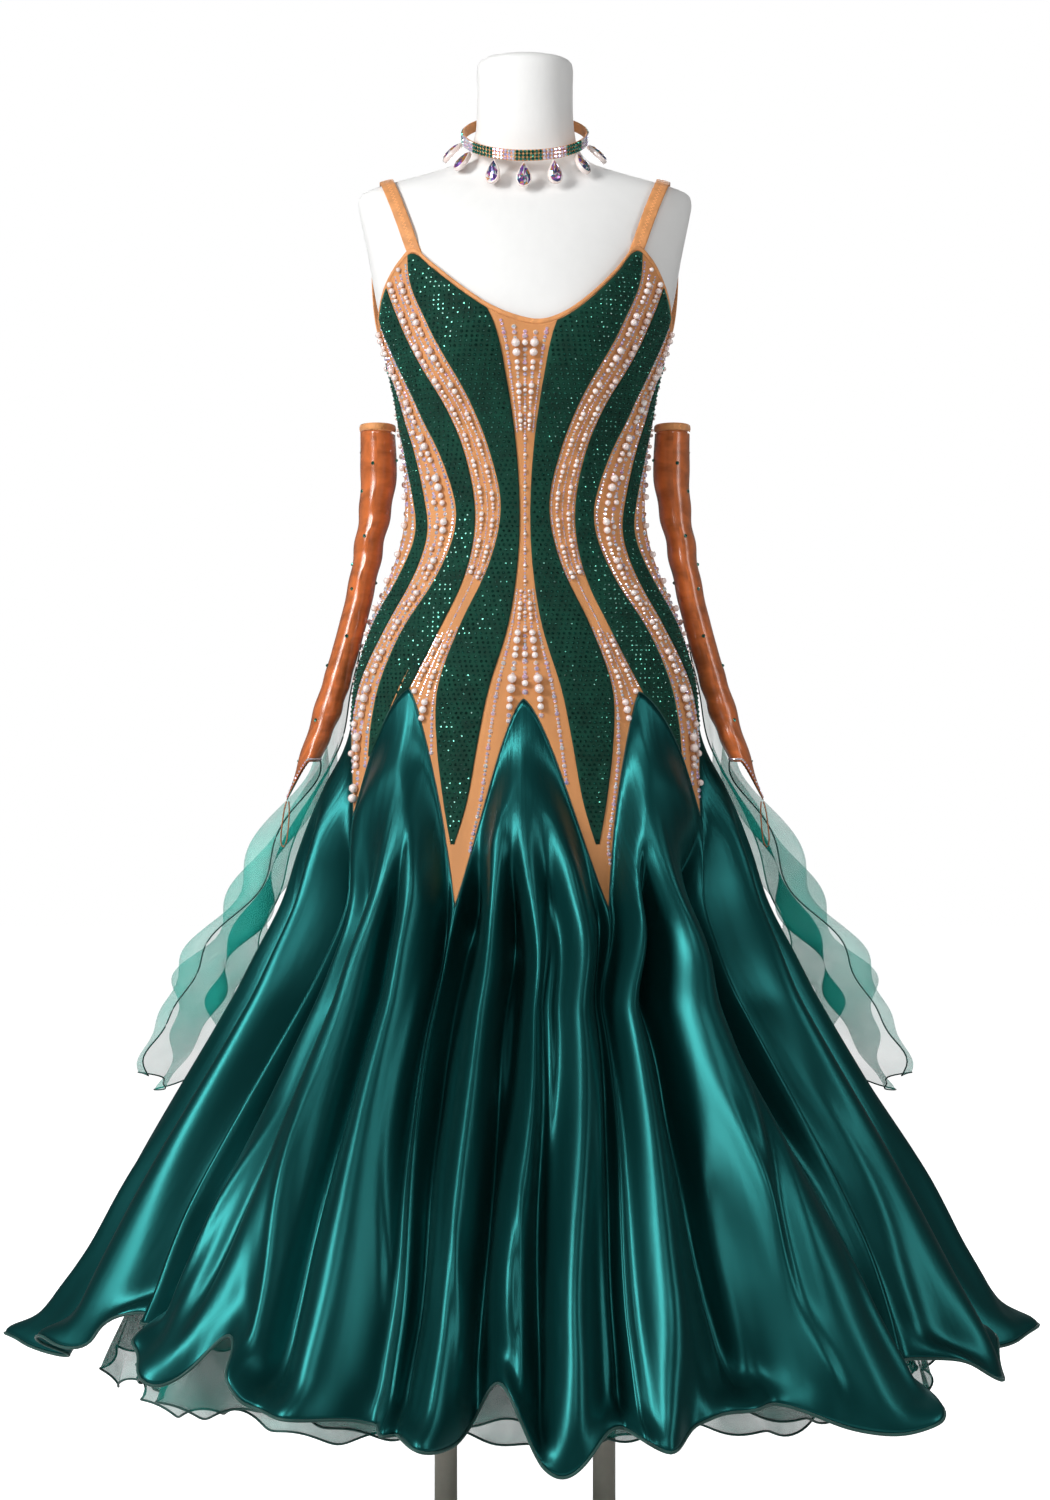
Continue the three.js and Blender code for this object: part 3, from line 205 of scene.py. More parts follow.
# Rows of beads in each nude gap: the panels at its two edges (none is the middle or the side seam),
# and for each row its share of the way across and its pattern.
GAPS = {
    "front_middle": (
        None, "front_inner",
        ((0.12, "fine"), (0.31, "pearls"), (0.5, "mixed"), (0.69, "pearls"), (0.88, "fine"))),
    "front_princess": (
        "front_inner", "front_outer",
        ((0.08, "fine"), (0.28, "pearls"), (0.5, "fine"), (0.72, "pearls"), (0.92, "fine"))),
    "front_flank": (
        "front_outer", "side", ((0.1, "fine"), (0.35, "pearls"), (0.62, "mixed"), (0.9, "fine"))),
    "front_seam": ("side", "", ((0.15, "fine"), (0.5, "mixed"))),
    "back_middle": (
        None, "back_inner",
        ((0.12, "fine"), (0.31, "pearls"), (0.5, "mixed"), (0.69, "pearls"), (0.88, "fine"))),
    "back_blade": (
        "back_inner", "back_outer",
        ((0.08, "fine"), (0.29, "pearls"), (0.5, "mixed"), (0.71, "pearls"), (0.92, "fine"))),
    "back_seam": ("back_outer", "", ((0.15, "fine"), (0.5, "mixed"))),
}
PATTERNS = {
    "pearls": (
        ("pearl", 10.5), ("pearl", 10.5), ("pearl", 7.5), ("pearl", 7.5), ("crystal", 5.5), ("crystal", 5.5),
        ("crystal", 4.5)),
    "mixed": (("crystal", 4.5), ("crystal", 6.5), ("pearl", 7.5), ("crystal", 6.5), ("crystal", 4.5)),
    "fine": (("crystal", 3.8), ("crystal", 3.8), ("crystal", 3.8), ("crystal", 5.2)),
}
FULL_ROW_PITCH = 10.5
LEAST_ROW_PITCH = 4.0

MITT = table("z x y across deep", [
    (1226, 163, 26, 18, 35), (1183, 162, 26, 19, 34), (1149, 164.5, 25, 17, 33), (1102, 172, 23, 15, 31),
    (1058, 180, 20, 14, 29), (1018, 189, 17, 14, 27), (974, 201, 13, 14, 25), (923, 216, 8, 14.5, 24),
    (888, 228, 4, 13, 24), (862, 238, 0, 11, 24),
])
MITT_POINT = {"out": 12, "drop": 42, "start": 0.75, "power": 1.5}
MITT_OUT = 1.2
MITT_AROUND = 64
# Each band of wrinkles: its height, reach, depth, length and slant.
MITT_WRINKLES = ((1110, 60, 1.1, 7, 5), (915, 45, 0.99, 5.2, -6))
MITT_STONES = table("z around", [
    (1205, .3), (1190, .04), (1160, .16), (1136, .36), (1110, .05), (1080, .24), (1052, .1), (1020, .34),
    (1000, .02), (968, .2), (940, .38), (915, .1), (893, .28), (1130, .62), (1060, .7), (980, .6),
    (1195, .78),
])
CUFF = {"height": 8, "inner": -0.6, "outer": 2.2}
LOOP_ROUTE = table("side drop", [
    (-1.3, 0), (-2.8, -10), (-3.5, -24), (-3.5, -38), (-2.45, -46), (0, -50), (2.45, -46), (3.5, -38),
    (3.5, -24), (2.8, -10), (1.3, 0),
])
LOOP = {"lean": 0.1, "thick": 1.6, "below": 1.6}

FLOAT = table("z near far start end", [
    (900, 12, 30, 104, 116), (850, 8, 30, 98, 112), (800, 8, 40, 95, 110), (740, 8, 50, 90, 112),
    (680, 8, 60, 87, 114), (620, 8, 70, 86, 118), (560, 8, 58, 87, 124), (505, 8, 30, 91, 128),
])
FLOAT_TOP = 1150
FLOAT_BEHIND = {"gap": 7, "wave": 8, "inner": 14, "outer": 6}
FLOAT_JOIN = {"z": 905, "length": 70, "spread": 160}
FLOAT_HEM = {"high": 14, "waves": 9, "start": 1}
FLOAT_TWIST = 2.2
FLOAT_CLEAR = 1.08
FLOAT_FLUTTER = {"high": 3.5, "waves": 2.6, "turn": 4}
FLOAT_STRIP = {"top": 0.12, "over": 330, "uneven": 0.05, "length": 17}
# Each ruffle: height, length, slant, and the height, length and start of the slow wave that bends it.
FLOAT_RUFFLES = ((7.5, 25, 5, 1.4, 61, 2), (5, 13.7, 9, 2, 83, 0))
FLOAT_GRID = {"down": 116, "across": 64}
FLOAT_WAVES = 2.5

UNDERSKIRTS = table("top drop inset clear waves wave turn lift", [
    (420, 10, 34, 8, 12, 9, 3, 9), (400, 24, 62, 20, 11, 9, 11, 8),
])
UNDERSKIRT_HEM = 214
UNDERSKIRT_SMALL = {"times": 3, "rise": 4, "rise_start": 1, "out": 6, "out_start": 2}
UNDERSKIRT_GRID = {"around": 480, "down": 20}

NECKBAND = {"across": 67, "deep": 64, "y": -6, "z": 1551, "rise": 0.47, "wall": 1.6, "height": 12}
DROPS = table("angle swing", [(-86, 44), (-58, 42), (-28, 14), (-1, 4), (26, 14), (52, 36), (80, 46)])
DROP = {"half": 8.5, "long": 28, "thick": 5, "gap": 0.5}

STRAP = table("x z face", [
    (112, 1392, -1), (118, 1407, -1), (123, 1421, -1), (127, 1433, -1), (132, 1447, -1), (138, 1463, -1),
    (144, 1478, -1), (149, 1490, -1), (152, 1498, 0), (153, 1488, 1), (156, 1468, 1), (160, 1440, 1),
    (163, 1408, 1), (162, 1375, 1), (159, 1347, 1), (154, 1322, 1), (150, 1306, 1), (144.5, 1294, 1),
])
STRAP_SIZE = {"lift": 1.5, "width": 15, "thick": 1.4}
STRAP_SINK = {"reach": 10, "depth": 3.2}
STRAP_CENTRE = {"across": 0.8, "z": 1380}

PEARL = {"sides": 10, "rings": (38, 76, 120), "lift": 0.42}
TABLE_SHARE = 0.55

# Colours of the faces of an iridescent crystal.
CRYSTAL_TONES = np.array([
    (0.86, 0.62, 0.80), (0.62, 0.55, 0.90), (0.90, 0.88, 0.92), (0.55, 0.80, 0.78), (0.92, 0.80, 0.62),
    (0.80, 0.45, 0.70), (0.95, 0.93, 0.95), (0.40, 0.42, 0.72),
])
DROP_TONES = np.array([
    (0.22, 0.08, 0.42), (0.06, 0.26, 0.28), (0.60, 0.28, 0.08), (0.50, 0.12, 0.34), (0.82, 0.78, 0.86),
    (0.08, 0.08, 0.2),
])
GREEN_TONES = np.array([(0.004, 0.05, 0.035), (0.01, 0.13, 0.09), (0.002, 0.02, 0.015), (0.05, 0.30, 0.22)])
BAND_TONES = np.array([(0.01, 0.16, 0.12), (0.03, 0.32, 0.24), (0.004, 0.06, 0.05), (0.2, 0.6, 0.5)])


# ---- shared mathematics ----
def lerp(a, b, t):
    return a + (b - a) * t


def ease(t):
    """A smooth step from 0 to 1: t squared times (3 minus 2 t)."""
    t = np.clip(t, 0, 1)
    return t * t * (3 - 2 * t)


def below(z, start, over):
    """0 above a height, easing to 1 over a distance below it."""
    return ease((start - z) / over)


def bell(t):
    return np.exp(-t * t)


def curve(rows, key, column, period=0):
    """A cubic through one column of a table, with the mean slope of its neighbours at each row."""
    order = np.argsort(rows[key])
    at = rows[key][order]
    value = rows[column][order]
    if period:
        at = np.concatenate(([at[-1] - period], at, [at[0] + period]))
        value = np.concatenate(([value[-1]], value, [value[0]]))
    index = np.arange(len(at))
    low = np.maximum(index - 1, 0)
    high = np.minimum(index + 1, len(at) - 1)
    slope = (value[high] - value[low]) / (at[high] - at[low])

    def read(raw):
        x = np.asarray(raw, float)
        if period:
            x = at[1] + (x - at[1]) % period
        x = np.clip(x, at[0], at[-1])
        i = np.clip(np.searchsorted(at, x, side="left") - 1, 0, len(at) - 2)
        h = at[i + 1] - at[i]
        t = (x - at[i]) / h
        near = (1 + 2 * t) * (1 - t) ** 2 * value[i] + t * (1 - t) ** 2 * h * slope[i]
        far = t * t * (3 - 2 * t) * value[i + 1] + t * t * (t - 1) * h * slope[i + 1]
        return near + far

    return read


def joined(*tables):
    """Tables with the same columns, one after another."""
    return {key: np.concatenate([rows[key] for rows in tables]) for key in tables[0]}


def unit(vectors):
    return vectors / np.maximum(np.linalg.norm(vectors, axis=-1, keepdims=True), 1e-9)


def ring_point(width, front, back, angle, out):
    """A point of an oval with one half width and two half depths, moved out square to the oval."""
    a = np.radians(angle)
    depth = np.where(np.cos(a) > 0, front, back)
    slope_x = np.sin(a) / width
    slope_y = -np.cos(a) / depth
    length = np.hypot(slope_x, slope_y)
    return width * np.sin(a) + out * slope_x / length, -depth * np.cos(a) + out * slope_y / length


body_width = curve(BODY, "z", "width")
body_front = curve(BODY, "z", "front")
body_back = curve(BODY, "z", "back")
fullness = curve(FULLNESS, "z", "out")
hem_height = curve(HEM, "angle", "z", 360)
hem_swing = curve(HEM, "angle", "out", 360)
top_edge = curve(TOP_EDGE, "angle", "z", 360)


def bust_out(angle, z):
    """Two bell-shaped swells, one on each side of the front."""
    signed = (np.asarray(angle) + 180) % 360 - 180
    level = bell((z - BUST["z"]) / BUST["height"])
    sides = bell((signed - BUST["angle"]) / BUST["spread"]) + bell((signed + BUST["angle"]) / BUST["spread"])
    return BUST["out"] * level * sides


def body_point(angle, z, out):
    """A point of the body's oval at a height, moved out by the bust and by the distance given."""
    angle, z, out = np.broadcast_arrays(angle, z, out)
    x, y = ring_point(body_width(z), body_front(z), body_back(z), angle, out + bust_out(angle, z))
    return np.stack((x, y, z.astype(float)), axis=-1)


def body_normal(angle, z):
    """The direction square to the body: the cross product of its slopes down and to the right."""
    down = body_point(angle, z - 1.0, 0) - body_point(angle, z + 1.0, 0)
    right = body_point(angle + 0.5, z, 0) - body_point(angle - 0.5, z, 0)
    return unit(np.cross(down, right))


# ---- the satin skirt's surface ----
def seam(index):
    """The seam at the left of a godet, or at its right when the index is one more."""
    turn = 360 * (index // len(SEAMS["top"]))
    k = index % len(SEAMS["top"])
    return {key: SEAMS[key][k] + (0 if key == "tip" else turn) for key in SEAMS}


def seam_angle(line, z):
    upper = lerp(line["top"], line["mid"], below(z, line["tip"], line["tip"] - SEAM_MID))
    lower = lerp(line["mid"], line["low"], below(z, SEAM_MID, SEAM_MID - SEAM_LOW))
    return np.where(z >= SEAM_MID, upper, lower)


def arch_height(index, u):
    """The godet's arched top: from its point in the middle down to the seam tips by a power of |u|."""
    tip = np.where(u < 0, seam(index)["tip"], seam(index + 1)["tip"])
    return lerp(GODETS["peak_z"][index], tip, np.abs(u) ** ARCH_POWER)


def godet_angle(index, u, z):
    left = seam(index)
    right = seam(index + 1)
    a = seam_angle(left, z)
    b = seam_angle(right, z)
    share = below(z, (left["tip"] + right["tip"]) / 2, GODET_SETTLE)
    middle = lerp(GODETS["peak"][index], (a + b) / 2, share)
    return np.where(u < 0, lerp(middle, a, -u), lerp(middle, b, u))


def fold_place(fold, z):
    upper = lerp(fold["top"], fold["mid"], below(z, FOLD_TOP, FOLD_TOP - SEAM_MID))
    lower = lerp(fold["mid"], fold["low"], below(z, SEAM_MID, SEAM_MID - SEAM_LOW))
    return np.where(z >= SEAM_MID, upper, lower)


def rows_of(rows, index):
    """The rows of a table that belong to one godet, as dictionaries."""
    for k in np.nonzero(rows["godet"] == index)[0]:
        yield {key: rows[key][k] for key in rows}


def fold_height(index, u, z):
    """A plain swell at the top of a godet, turning below into the sum of its folds' bells."""
    swell = 1 - np.abs(u) ** FOLD_SHAPE["swell"]
    folds = FOLD_SHAPE["ground"]
    for fold in rows_of(FOLDS, index):
        folds = folds + fold["high"] * bell((u - fold_place(fold, z)) / fold["wide"])
    settle = lerp(1.0, FOLD_SHAPE["settled"], below(z, *FOLD_RANGES["settle"]))
    folds = folds - VALLEY_DEPTH * np.maximum(0, 1 - folds) ** 2 * settle
    edge = ease((1 - np.abs(u)) / FOLD_SHAPE["edge"])
    at_seam = FOLD_SHAPE["seam_rise"] * below(z, *FOLD_RANGES["seam"]) - FOLD_SHAPE["seam"]
    return lerp(swell, lerp(at_seam, folds, edge), below(z, *FOLD_RANGES["grow"]))


def crease_height(index, u, z):
    """The sum of a godet's small creases: bells across it that fade in and out along their length."""
    total = np.zeros(np.broadcast(u, z).shape)
    shape = CREASE_SHAPE
    for crease in rows_of(CREASES, index):
        along = (crease["start"] - z) / (crease["start"] - crease["end"])
        place = lerp(crease["top"], crease["low"], np.clip(along, 0, 1))
        place = place + shape["sway"] * np.sin(z / shape["length"] + crease["top"] * shape["turn"])
        fade_out = ease((z - crease["end"] + shape["past"]) / shape["fade_out"])
        fade = below(z, crease["start"], shape["fade_in"]) * fade_out
        total = total + crease["high"] * bell((u - place) / crease["wide"]) * fade
    return total * ease((1 - np.abs(u)) / shape["edge"])


def godet_lift(index, u, z, depth):
    """How far the satin stands out from the skirt's oval cone: its folds times the fullness, its small
    creases, and the hem's swing, ripples and curl. The share of the curl is given as well."""
    top = arch_height(index, u)
    hem_angle = godet_angle(index, u, SEAM_LOW)
    hem = hem_height(hem_angle)
    lift = fullness(z) * below(z, top, GODET_RISE) * fold_height(index, u, z)
    lift = lift + depth * crease_height(index, u, z)
    lift = lift + hem_swing(hem_angle) * below(z, hem + HEM_REACH, HEM_REACH)
    turn = np.radians(hem_angle)
    near = below(z, hem + HEM_RIPPLE["reach"], HEM_RIPPLE["reach"]) ** 2
    ripple = np.sin(turn * HEM_RIPPLE["waves"] + HEM_RIPPLE["start"])
    ripple = ripple + HEM_RIPPLE["small"] * np.sin(
        turn * HEM_RIPPLE["small_waves"] + HEM_RIPPLE["small_start"])
    lift = lift + HEM_RIPPLE["out"] * near * ripple
    uneven = HEM_CURL["uneven"] * np.sin(turn * HEM_CURL["slow"])
    lip = HEM_CURL["mean"] + HEM_CURL["change"] * np.sin(
        turn * HEM_CURL["waves"] + HEM_CURL["start"] + uneven)
    curl = below(z, hem + HEM_CURL["reach"], HEM_CURL["reach"]) ** 2 * lip
    return lift + HEM_CURL["out"] * curl, curl


def godet_point(index, u, v, out, depth):
    """The skirt's oval cone moved out by the satin's lift, with the hem's lip turned up by its curl."""
    z = lerp(arch_height(index, u), hem_height(godet_angle(index, u, SEAM_LOW)), v)
    lift, curl = godet_lift(index, u, z, depth)
    x, y = ring_point(body_width(z), body_front(z), body_back(z), godet_angle(index, u, z), lift + out)
    return np.stack((x, y, z + HEM_CURL["rise"] * curl), axis=-1)


def satin_lift_at(angle, z, depth):
    """The satin's lift at a row of angles and one height, read from all the godets in turn."""
    u = np.linspace(-1, 1, SEARCH_STEPS, endpoint=False)
    angles = np.concatenate([godet_angle(k, u, z) for k in range(len(GODET_NAMES))])
    lifts = np.concatenate([godet_lift(k, u, z, depth)[0] for k in range(len(GODET_NAMES))])
    return np.interp(angle, angles, lifts, period=360)


ARCH_STEPS = 24
ARCH_U = np.linspace(-1, 1, ARCH_STEPS, endpoint=False)
ARCH_ANGLES = np.concatenate([godet_angle(k, ARCH_U, 900.0) for k in range(len(GODET_NAMES))])
ARCH_HEIGHTS = np.concatenate([arch_height(k, ARCH_U) for k in range(len(GODET_NAMES))])


def arch_at(angle):
    """The height of the satin's arched top edge at an angle."""
    return np.interp(angle, ARCH_ANGLES, ARCH_HEIGHTS, period=360)


# ---- meshes ----
def put_mesh(name, points, faces, smooth=True, uv=None):
    """An object from points in millimetres and faces of equal length; uv holds a pair for each corner."""
    mesh = bpy.data.meshes.new(name)
    count, corners = faces.shape
    mesh.vertices.add(len(points))
    mesh.vertices.foreach_set("co", (points * MM).astype(np.float32).ravel())
    mesh.loops.add(count * corners)
    mesh.loops.foreach_set("vertex_index", faces.astype(np.int32).ravel())
    mesh.polygons.add(count)
    mesh.polygons.foreach_set("loop_start", np.arange(count, dtype=np.int32) * corners)
    mesh.update(calc_edges=True)
    mesh.polygons.foreach_set("use_smooth", np.full(count, smooth))
    if uv is not None:
        layer = mesh.uv_layers.new(name="cloth")
        layer.data.foreach_set("uv", uv.astype(np.float32).ravel())
    mesh.validate()
    piece = bpy.data.objects.new(name, mesh)
    bpy.context.scene.collection.objects.link(piece)
    return piece


def grid_faces(rows, columns, wrap):
    """Quads of a grid whose rows run down and whose columns run to the right, seen from outside."""
    i, j = np.meshgrid(np.arange(rows - 1), np.arange(columns if wrap else columns - 1), indexing="ij")
    k = (j + 1) % columns
    return np.stack(
        (i * columns + j, (i + 1) * columns + j, (i + 1) * columns + k, i * columns + k), -1).reshape(-1, 4)


def grid_uv(points, wrap):
    """Distances along the grid in metres: across at the widest row, and down the middle column."""
    rows, columns = points.shape[:2]
    steps = np.linalg.norm(np.diff(points, axis=0), axis=-1).mean(1)
    down = np.concatenate(([0], np.cumsum(steps))) * MM
    loop = np.concatenate((points, points[:, :1]), axis=1) if wrap else points
    widths = np.linalg.norm(np.diff(loop, axis=1), axis=-1)
    across = np.concatenate(([0], np.cumsum(widths.max(0)))) * MM
    i, j = np.meshgrid(np.arange(rows - 1), np.arange(len(across) - 1), indexing="ij")
    corners = []
    for a, b in ((0, 0), (1, 0), (1, 1), (0, 1)):
        corners.append(np.stack((across[j + b], -down[i + a]), -1))
    return np.stack(corners, axis=2).reshape(-1, 2)


def put_sheet(name, points, wrap=False, wall=0.8, inward=True):
    """A thin cloth from a grid of its outer points, thickened inwards."""
    rows, columns = points.shape[:2]
    piece = put_mesh(name, points.reshape(-1, 3), grid_faces(rows, columns, wrap), uv=grid_uv(points, wrap))
    solid = piece.modifiers.new("thickness", "SOLIDIFY")
    solid.thickness = wall * MM
    solid.offset = -1 if inward else 0
    solid.use_even_offset = False
    return piece


def tube(path, radius, sides=8, closed=False):
    """Points and faces of a round tube: a circle carried along a path, square to it, with closed ends."""
    ahead = np.roll(path, -1, axis=0) if closed else np.concatenate((path[1:], path[-1:]))
    behind = np.roll(path, 1, axis=0) if closed else np.concatenate((path[:1], path[:-1]))
    along = unit(ahead - behind)
    reference = np.where(np.abs(along[:, 2:3]) > 0.9, [[1.0, 0, 0]], [[0, 0, 1.0]])
    side = unit(np.cross(along, reference))
    up = np.cross(side, along)
    a = np.linspace(0, 2 * np.pi, sides, endpoint=False)
    radii = np.broadcast_to(radius, (len(path),))[:, None, None]
    ring = side[:, None] * np.cos(a)[:, None] + up[:, None] * np.sin(a)[:, None]
    points = (path[:, None] + radii * ring).reshape(-1, 3)
    count = len(path)
    i, j = np.meshgrid(np.arange(count if closed else count - 1), np.arange(sides), indexing="ij")
    n = (i + 1) % count
    k = (j + 1) % sides
    quads = np.stack((i * sides + j, i * sides + k, n * sides + k, n * sides + j), -1).reshape(-1, 4)
    faces = np.concatenate((quads[:, [0, 1, 2]], quads[:, [0, 2, 3]]))
    if not closed:
        j = np.arange(1, sides - 1)
        last = (count - 1) * sides
        start = np.stack((np.zeros_like(j), j + 1, j), -1)
        end = np.stack((np.full_like(j, last), last + j, last + j + 1), -1)
        faces = np.concatenate((faces, start, end))
    return points, faces


def joined_meshes(parts):
    """Several (points, faces) pairs as one pair."""
    points = []
    faces = []
    start = 0
    for p, f in parts:
        points.append(p)
        faces.append(f + start)
        start += len(p)
    return np.concatenate(points), np.concatenate(faces)


def path_through(points, count):
    """A smooth path through points: each coordinate is a cubic of the distance along them."""
    steps = np.linalg.norm(np.diff(points, axis=0), axis=-1)
    rows = {"s": np.concatenate(([0], np.cumsum(steps)))}
    rows.update({axis: points[:, k] for k, axis in enumerate("xyz")})
    s = np.linspace(0, rows["s"][-1], count)
    return np.stack([curve(rows, "s", axis)(s) for axis in "xyz"], -1)


# ---- small things repeated ----
def pearl_shape():
    """A ball of unit diameter, sunk a little in its base plane: rings of latitude between two poles."""
    sides = PEARL["sides"]
    a = np.linspace(0, 2 * np.pi, sides, endpoint=False)
    rings = []
    for r in np.radians(PEARL["rings"]):
        rings.append(np.stack((np.sin(r) * np.cos(a), np.sin(r) * np.sin(a), np.full(sides, np.cos(r))), -1))
    points = np.concatenate([[[0, 0, 1.0]]] + rings + [[[0, 0, -1.0]]]) * 0.5
    last = len(points) - 1
    faces = []
    for j in range(sides):
        k = (j + 1) % sides
        faces.append((0, 1 + j, 1 + k))
        for i in range(len(rings) - 1):
            upper = 1 + i * sides
            lower = upper + sides
            faces.extend([(upper + j, lower + j, lower + k), (upper + j, lower + k, upper + k)])
        faces.append((last, last - sides + k, last - sides + j))
    points[:, 2] += PEARL["lift"]
    return points, np.array(faces)


def stone_shape(sides, table_share, height):
    """A cut stone of unit width: a base ring, a smaller flat top ring turned half a facet, closed below."""
    a = np.linspace(0, 2 * np.pi, sides, endpoint=False)
    low = np.stack((np.cos(a), np.sin(a), np.zeros(sides)), -1) * 0.5
    b = a + np.pi / sides
    high = np.stack((np.cos(b) * table_share, np.sin(b) * table_share, np.full(sides, height * 2)), -1) * 0.5
    faces = []
    for j in range(sides):
        k = (j + 1) % sides
        faces.extend([(j, k, sides + j), (k, sides + k, sides + j)])
    for j in range(1, sides - 1):
        faces.extend([(sides, sides + j, sides + j + 1), (0, j + 1, j)])
    return np.concatenate((low, high)), np.array(faces)


def scatter(name, shape, centres, normals, sizes, tones=None, smooth=False, seed=SEED):
    """Copies of a small shape, each scaled and turned so that its up axis is the normal, in one mesh.
    tones gives each face a colour drawn from a list, kept as a colour attribute."""
    points, faces = shape
    chance = np.random.default_rng(seed)
    count = len(centres)
    spin = chance.uniform(0, 2 * np.pi, count)
    reference = np.where(np.abs(normals[:, 2:3]) > 0.9, [[1.0, 0, 0]], [[0, 0, 1.0]])
    one = unit(np.cross(reference, normals))
    two = np.cross(normals, one)
    ax = one * np.cos(spin)[:, None] + two * np.sin(spin)[:, None]
    ay = np.cross(normals, ax)
    frame_axes = np.stack((ax, ay, normals), axis=1)
    placed = np.einsum("vk,nkc->nvc", points, frame_axes) * sizes[:, None, None] + centres[:, None]
    index = faces[None] + (np.arange(count) * len(points))[:, None, None]
    piece = put_mesh(name, placed.reshape(-1, 3), index.reshape(-1, 3), smooth=smooth)
    if tones is not None:
        colours = tones(chance, count, len(faces)).reshape(-1, 3)
        colours = np.concatenate((colours, np.ones((len(colours), 1))), axis=1)
        layer = piece.data.attributes.new("tone", "FLOAT_COLOR", "CORNER")
        layer.data.foreach_set("color", np.repeat(colours, 3, axis=0).astype(np.float32).ravel())
    return piece


def iridescent(chance, count, faces):
    """Each stone keeps to a main colour of its own, and each of its faces turns towards another."""
    own = CRYSTAL_TONES[chance.integers(0, len(CRYSTAL_TONES), (count, 1))]
    turned = CRYSTAL_TONES[chance.integers(0, len(CRYSTAL_TONES), (count, faces))]
    return lerp(own, turned, 0.6)


def bright_green(chance, count, faces):
    """Clear green faces, one in ten pale."""
    return BAND_TONES[chance.choice(len(BAND_TONES), (count, faces), p=(0.4, 0.3, 0.2, 0.1))]


def emerald(chance, count, faces):
    """Dark green faces, one in a while pale."""
    return GREEN_TONES[chance.choice(len(GREEN_TONES), (count, faces), p=(0.42, 0.3, 0.2, 0.08))]


# ---- materials ----
class Tree:
    """A node tree that adds nodes with their inputs given by name, as values or as sockets."""

    def __init__(self, tree):
        self.tree = tree

    def add(self, kind, inputs=None, **settings):
        node = self.tree.nodes.new(kind)
        for key, value in settings.items():
            setattr(node, key, value)
        return self.fill(node, inputs or {})

    def fill(self, node, inputs):
        for key, value in inputs.items():
            if isinstance(value, bpy.types.NodeSocket):
                self.tree.links.new(value, node.inputs[key])
            else:
                node.inputs[key].default_value = value
        return node

    def ramp(self, factor, stops):
        node = self.add("ShaderNodeValToRGB", {"Fac": factor})
        for k, (place, colour) in enumerate(stops):
            element = node.color_ramp.elements[k] if k < 2 else node.color_ramp.elements.new(place)
            element.position = place
            element.color = (*colour, 1)
        return node.outputs["Color"]

    def math(self, operation, a, b):
        node = self.add("ShaderNodeMath", {0: a, 1: b}, operation=operation)
        return node.outputs[0]

    def between(self, value, low, high, start=0.0, stop=1.0):
        """A value that runs from start to stop, spread from low to high."""
        inputs = {"Value": value, "From Min": start, "From Max": stop, "To Min": low, "To Max": high}
        return self.add("ShaderNodeMapRange", inputs).outputs[0]

    def noise(self, vector, scale, detail, **more):
        inputs = {"Vector": vector, "Scale": scale, "Detail": detail, **more}
        return self.add("ShaderNodeTexNoise", inputs).outputs["Fac"]

    def shades(self, factor, colour, low, high, places=(0.3, 0.7)):
        """A darker and a lighter shade of a colour, ramped between two places of the factor."""
        return self.ramp(
            factor, [(place, scaled_colour(colour, k)) for place, k in zip(places, (low, high))])


def node_group(name, inputs, outputs):
    """An empty shader node group with named inputs (name, type, default) and outputs (name, type)."""
    tree = bpy.data.node_groups.new(name, "ShaderNodeTree")
    for label, kind, default in inputs:
        socket = tree.interface.new_socket(label, in_out="INPUT", socket_type=kind)
        if default is not None:
            socket.default_value = default
    for label, kind in outputs:
        tree.interface.new_socket(label, in_out="OUTPUT", socket_type=kind)
    return Tree(tree)


def weave_group():
    """Fine crossed threads: the product of two waves across the cloth, with a little noise in tone."""
    if "fine_weave" in bpy.data.node_groups:
        return bpy.data.node_groups["fine_weave"]
    t = node_group(
        "fine_weave",
        (("Vector", "NodeSocketVector", None), ("Threads", "NodeSocketFloat", 900.0), ("Unevenness", "NodeSocketFloat", 0.2)),
        (("Height", "NodeSocketFloat"), ("Tone", "NodeSocketFloat")),
    )
    start = t.add("NodeGroupInput")
    scaled = t.add(
        "ShaderNodeVectorMath", {0: start.outputs["Vector"], "Scale": start.outputs["Threads"]},
        operation="SCALE")
    parts = t.add("ShaderNodeSeparateXYZ", {0: scaled.outputs[0]})
    one = t.math("SINE", parts.outputs[0], 0.0)
    two = t.math("SINE", parts.outputs[1], 0.0)
    crossed = t.math("MULTIPLY", one, two)
    noise = t.noise(start.outputs["Vector"], 55.0, 5.0, Roughness=0.6)
    uneven = t.math("MULTIPLY", noise, start.outputs["Unevenness"])
    height = t.math("ADD", t.math("MULTIPLY", crossed, 0.5), uneven)
    end = t.add("NodeGroupOutput")
    t.tree.links.new(height, end.inputs["Height"])
    t.tree.links.new(noise, end.inputs["Tone"])
    return t.tree


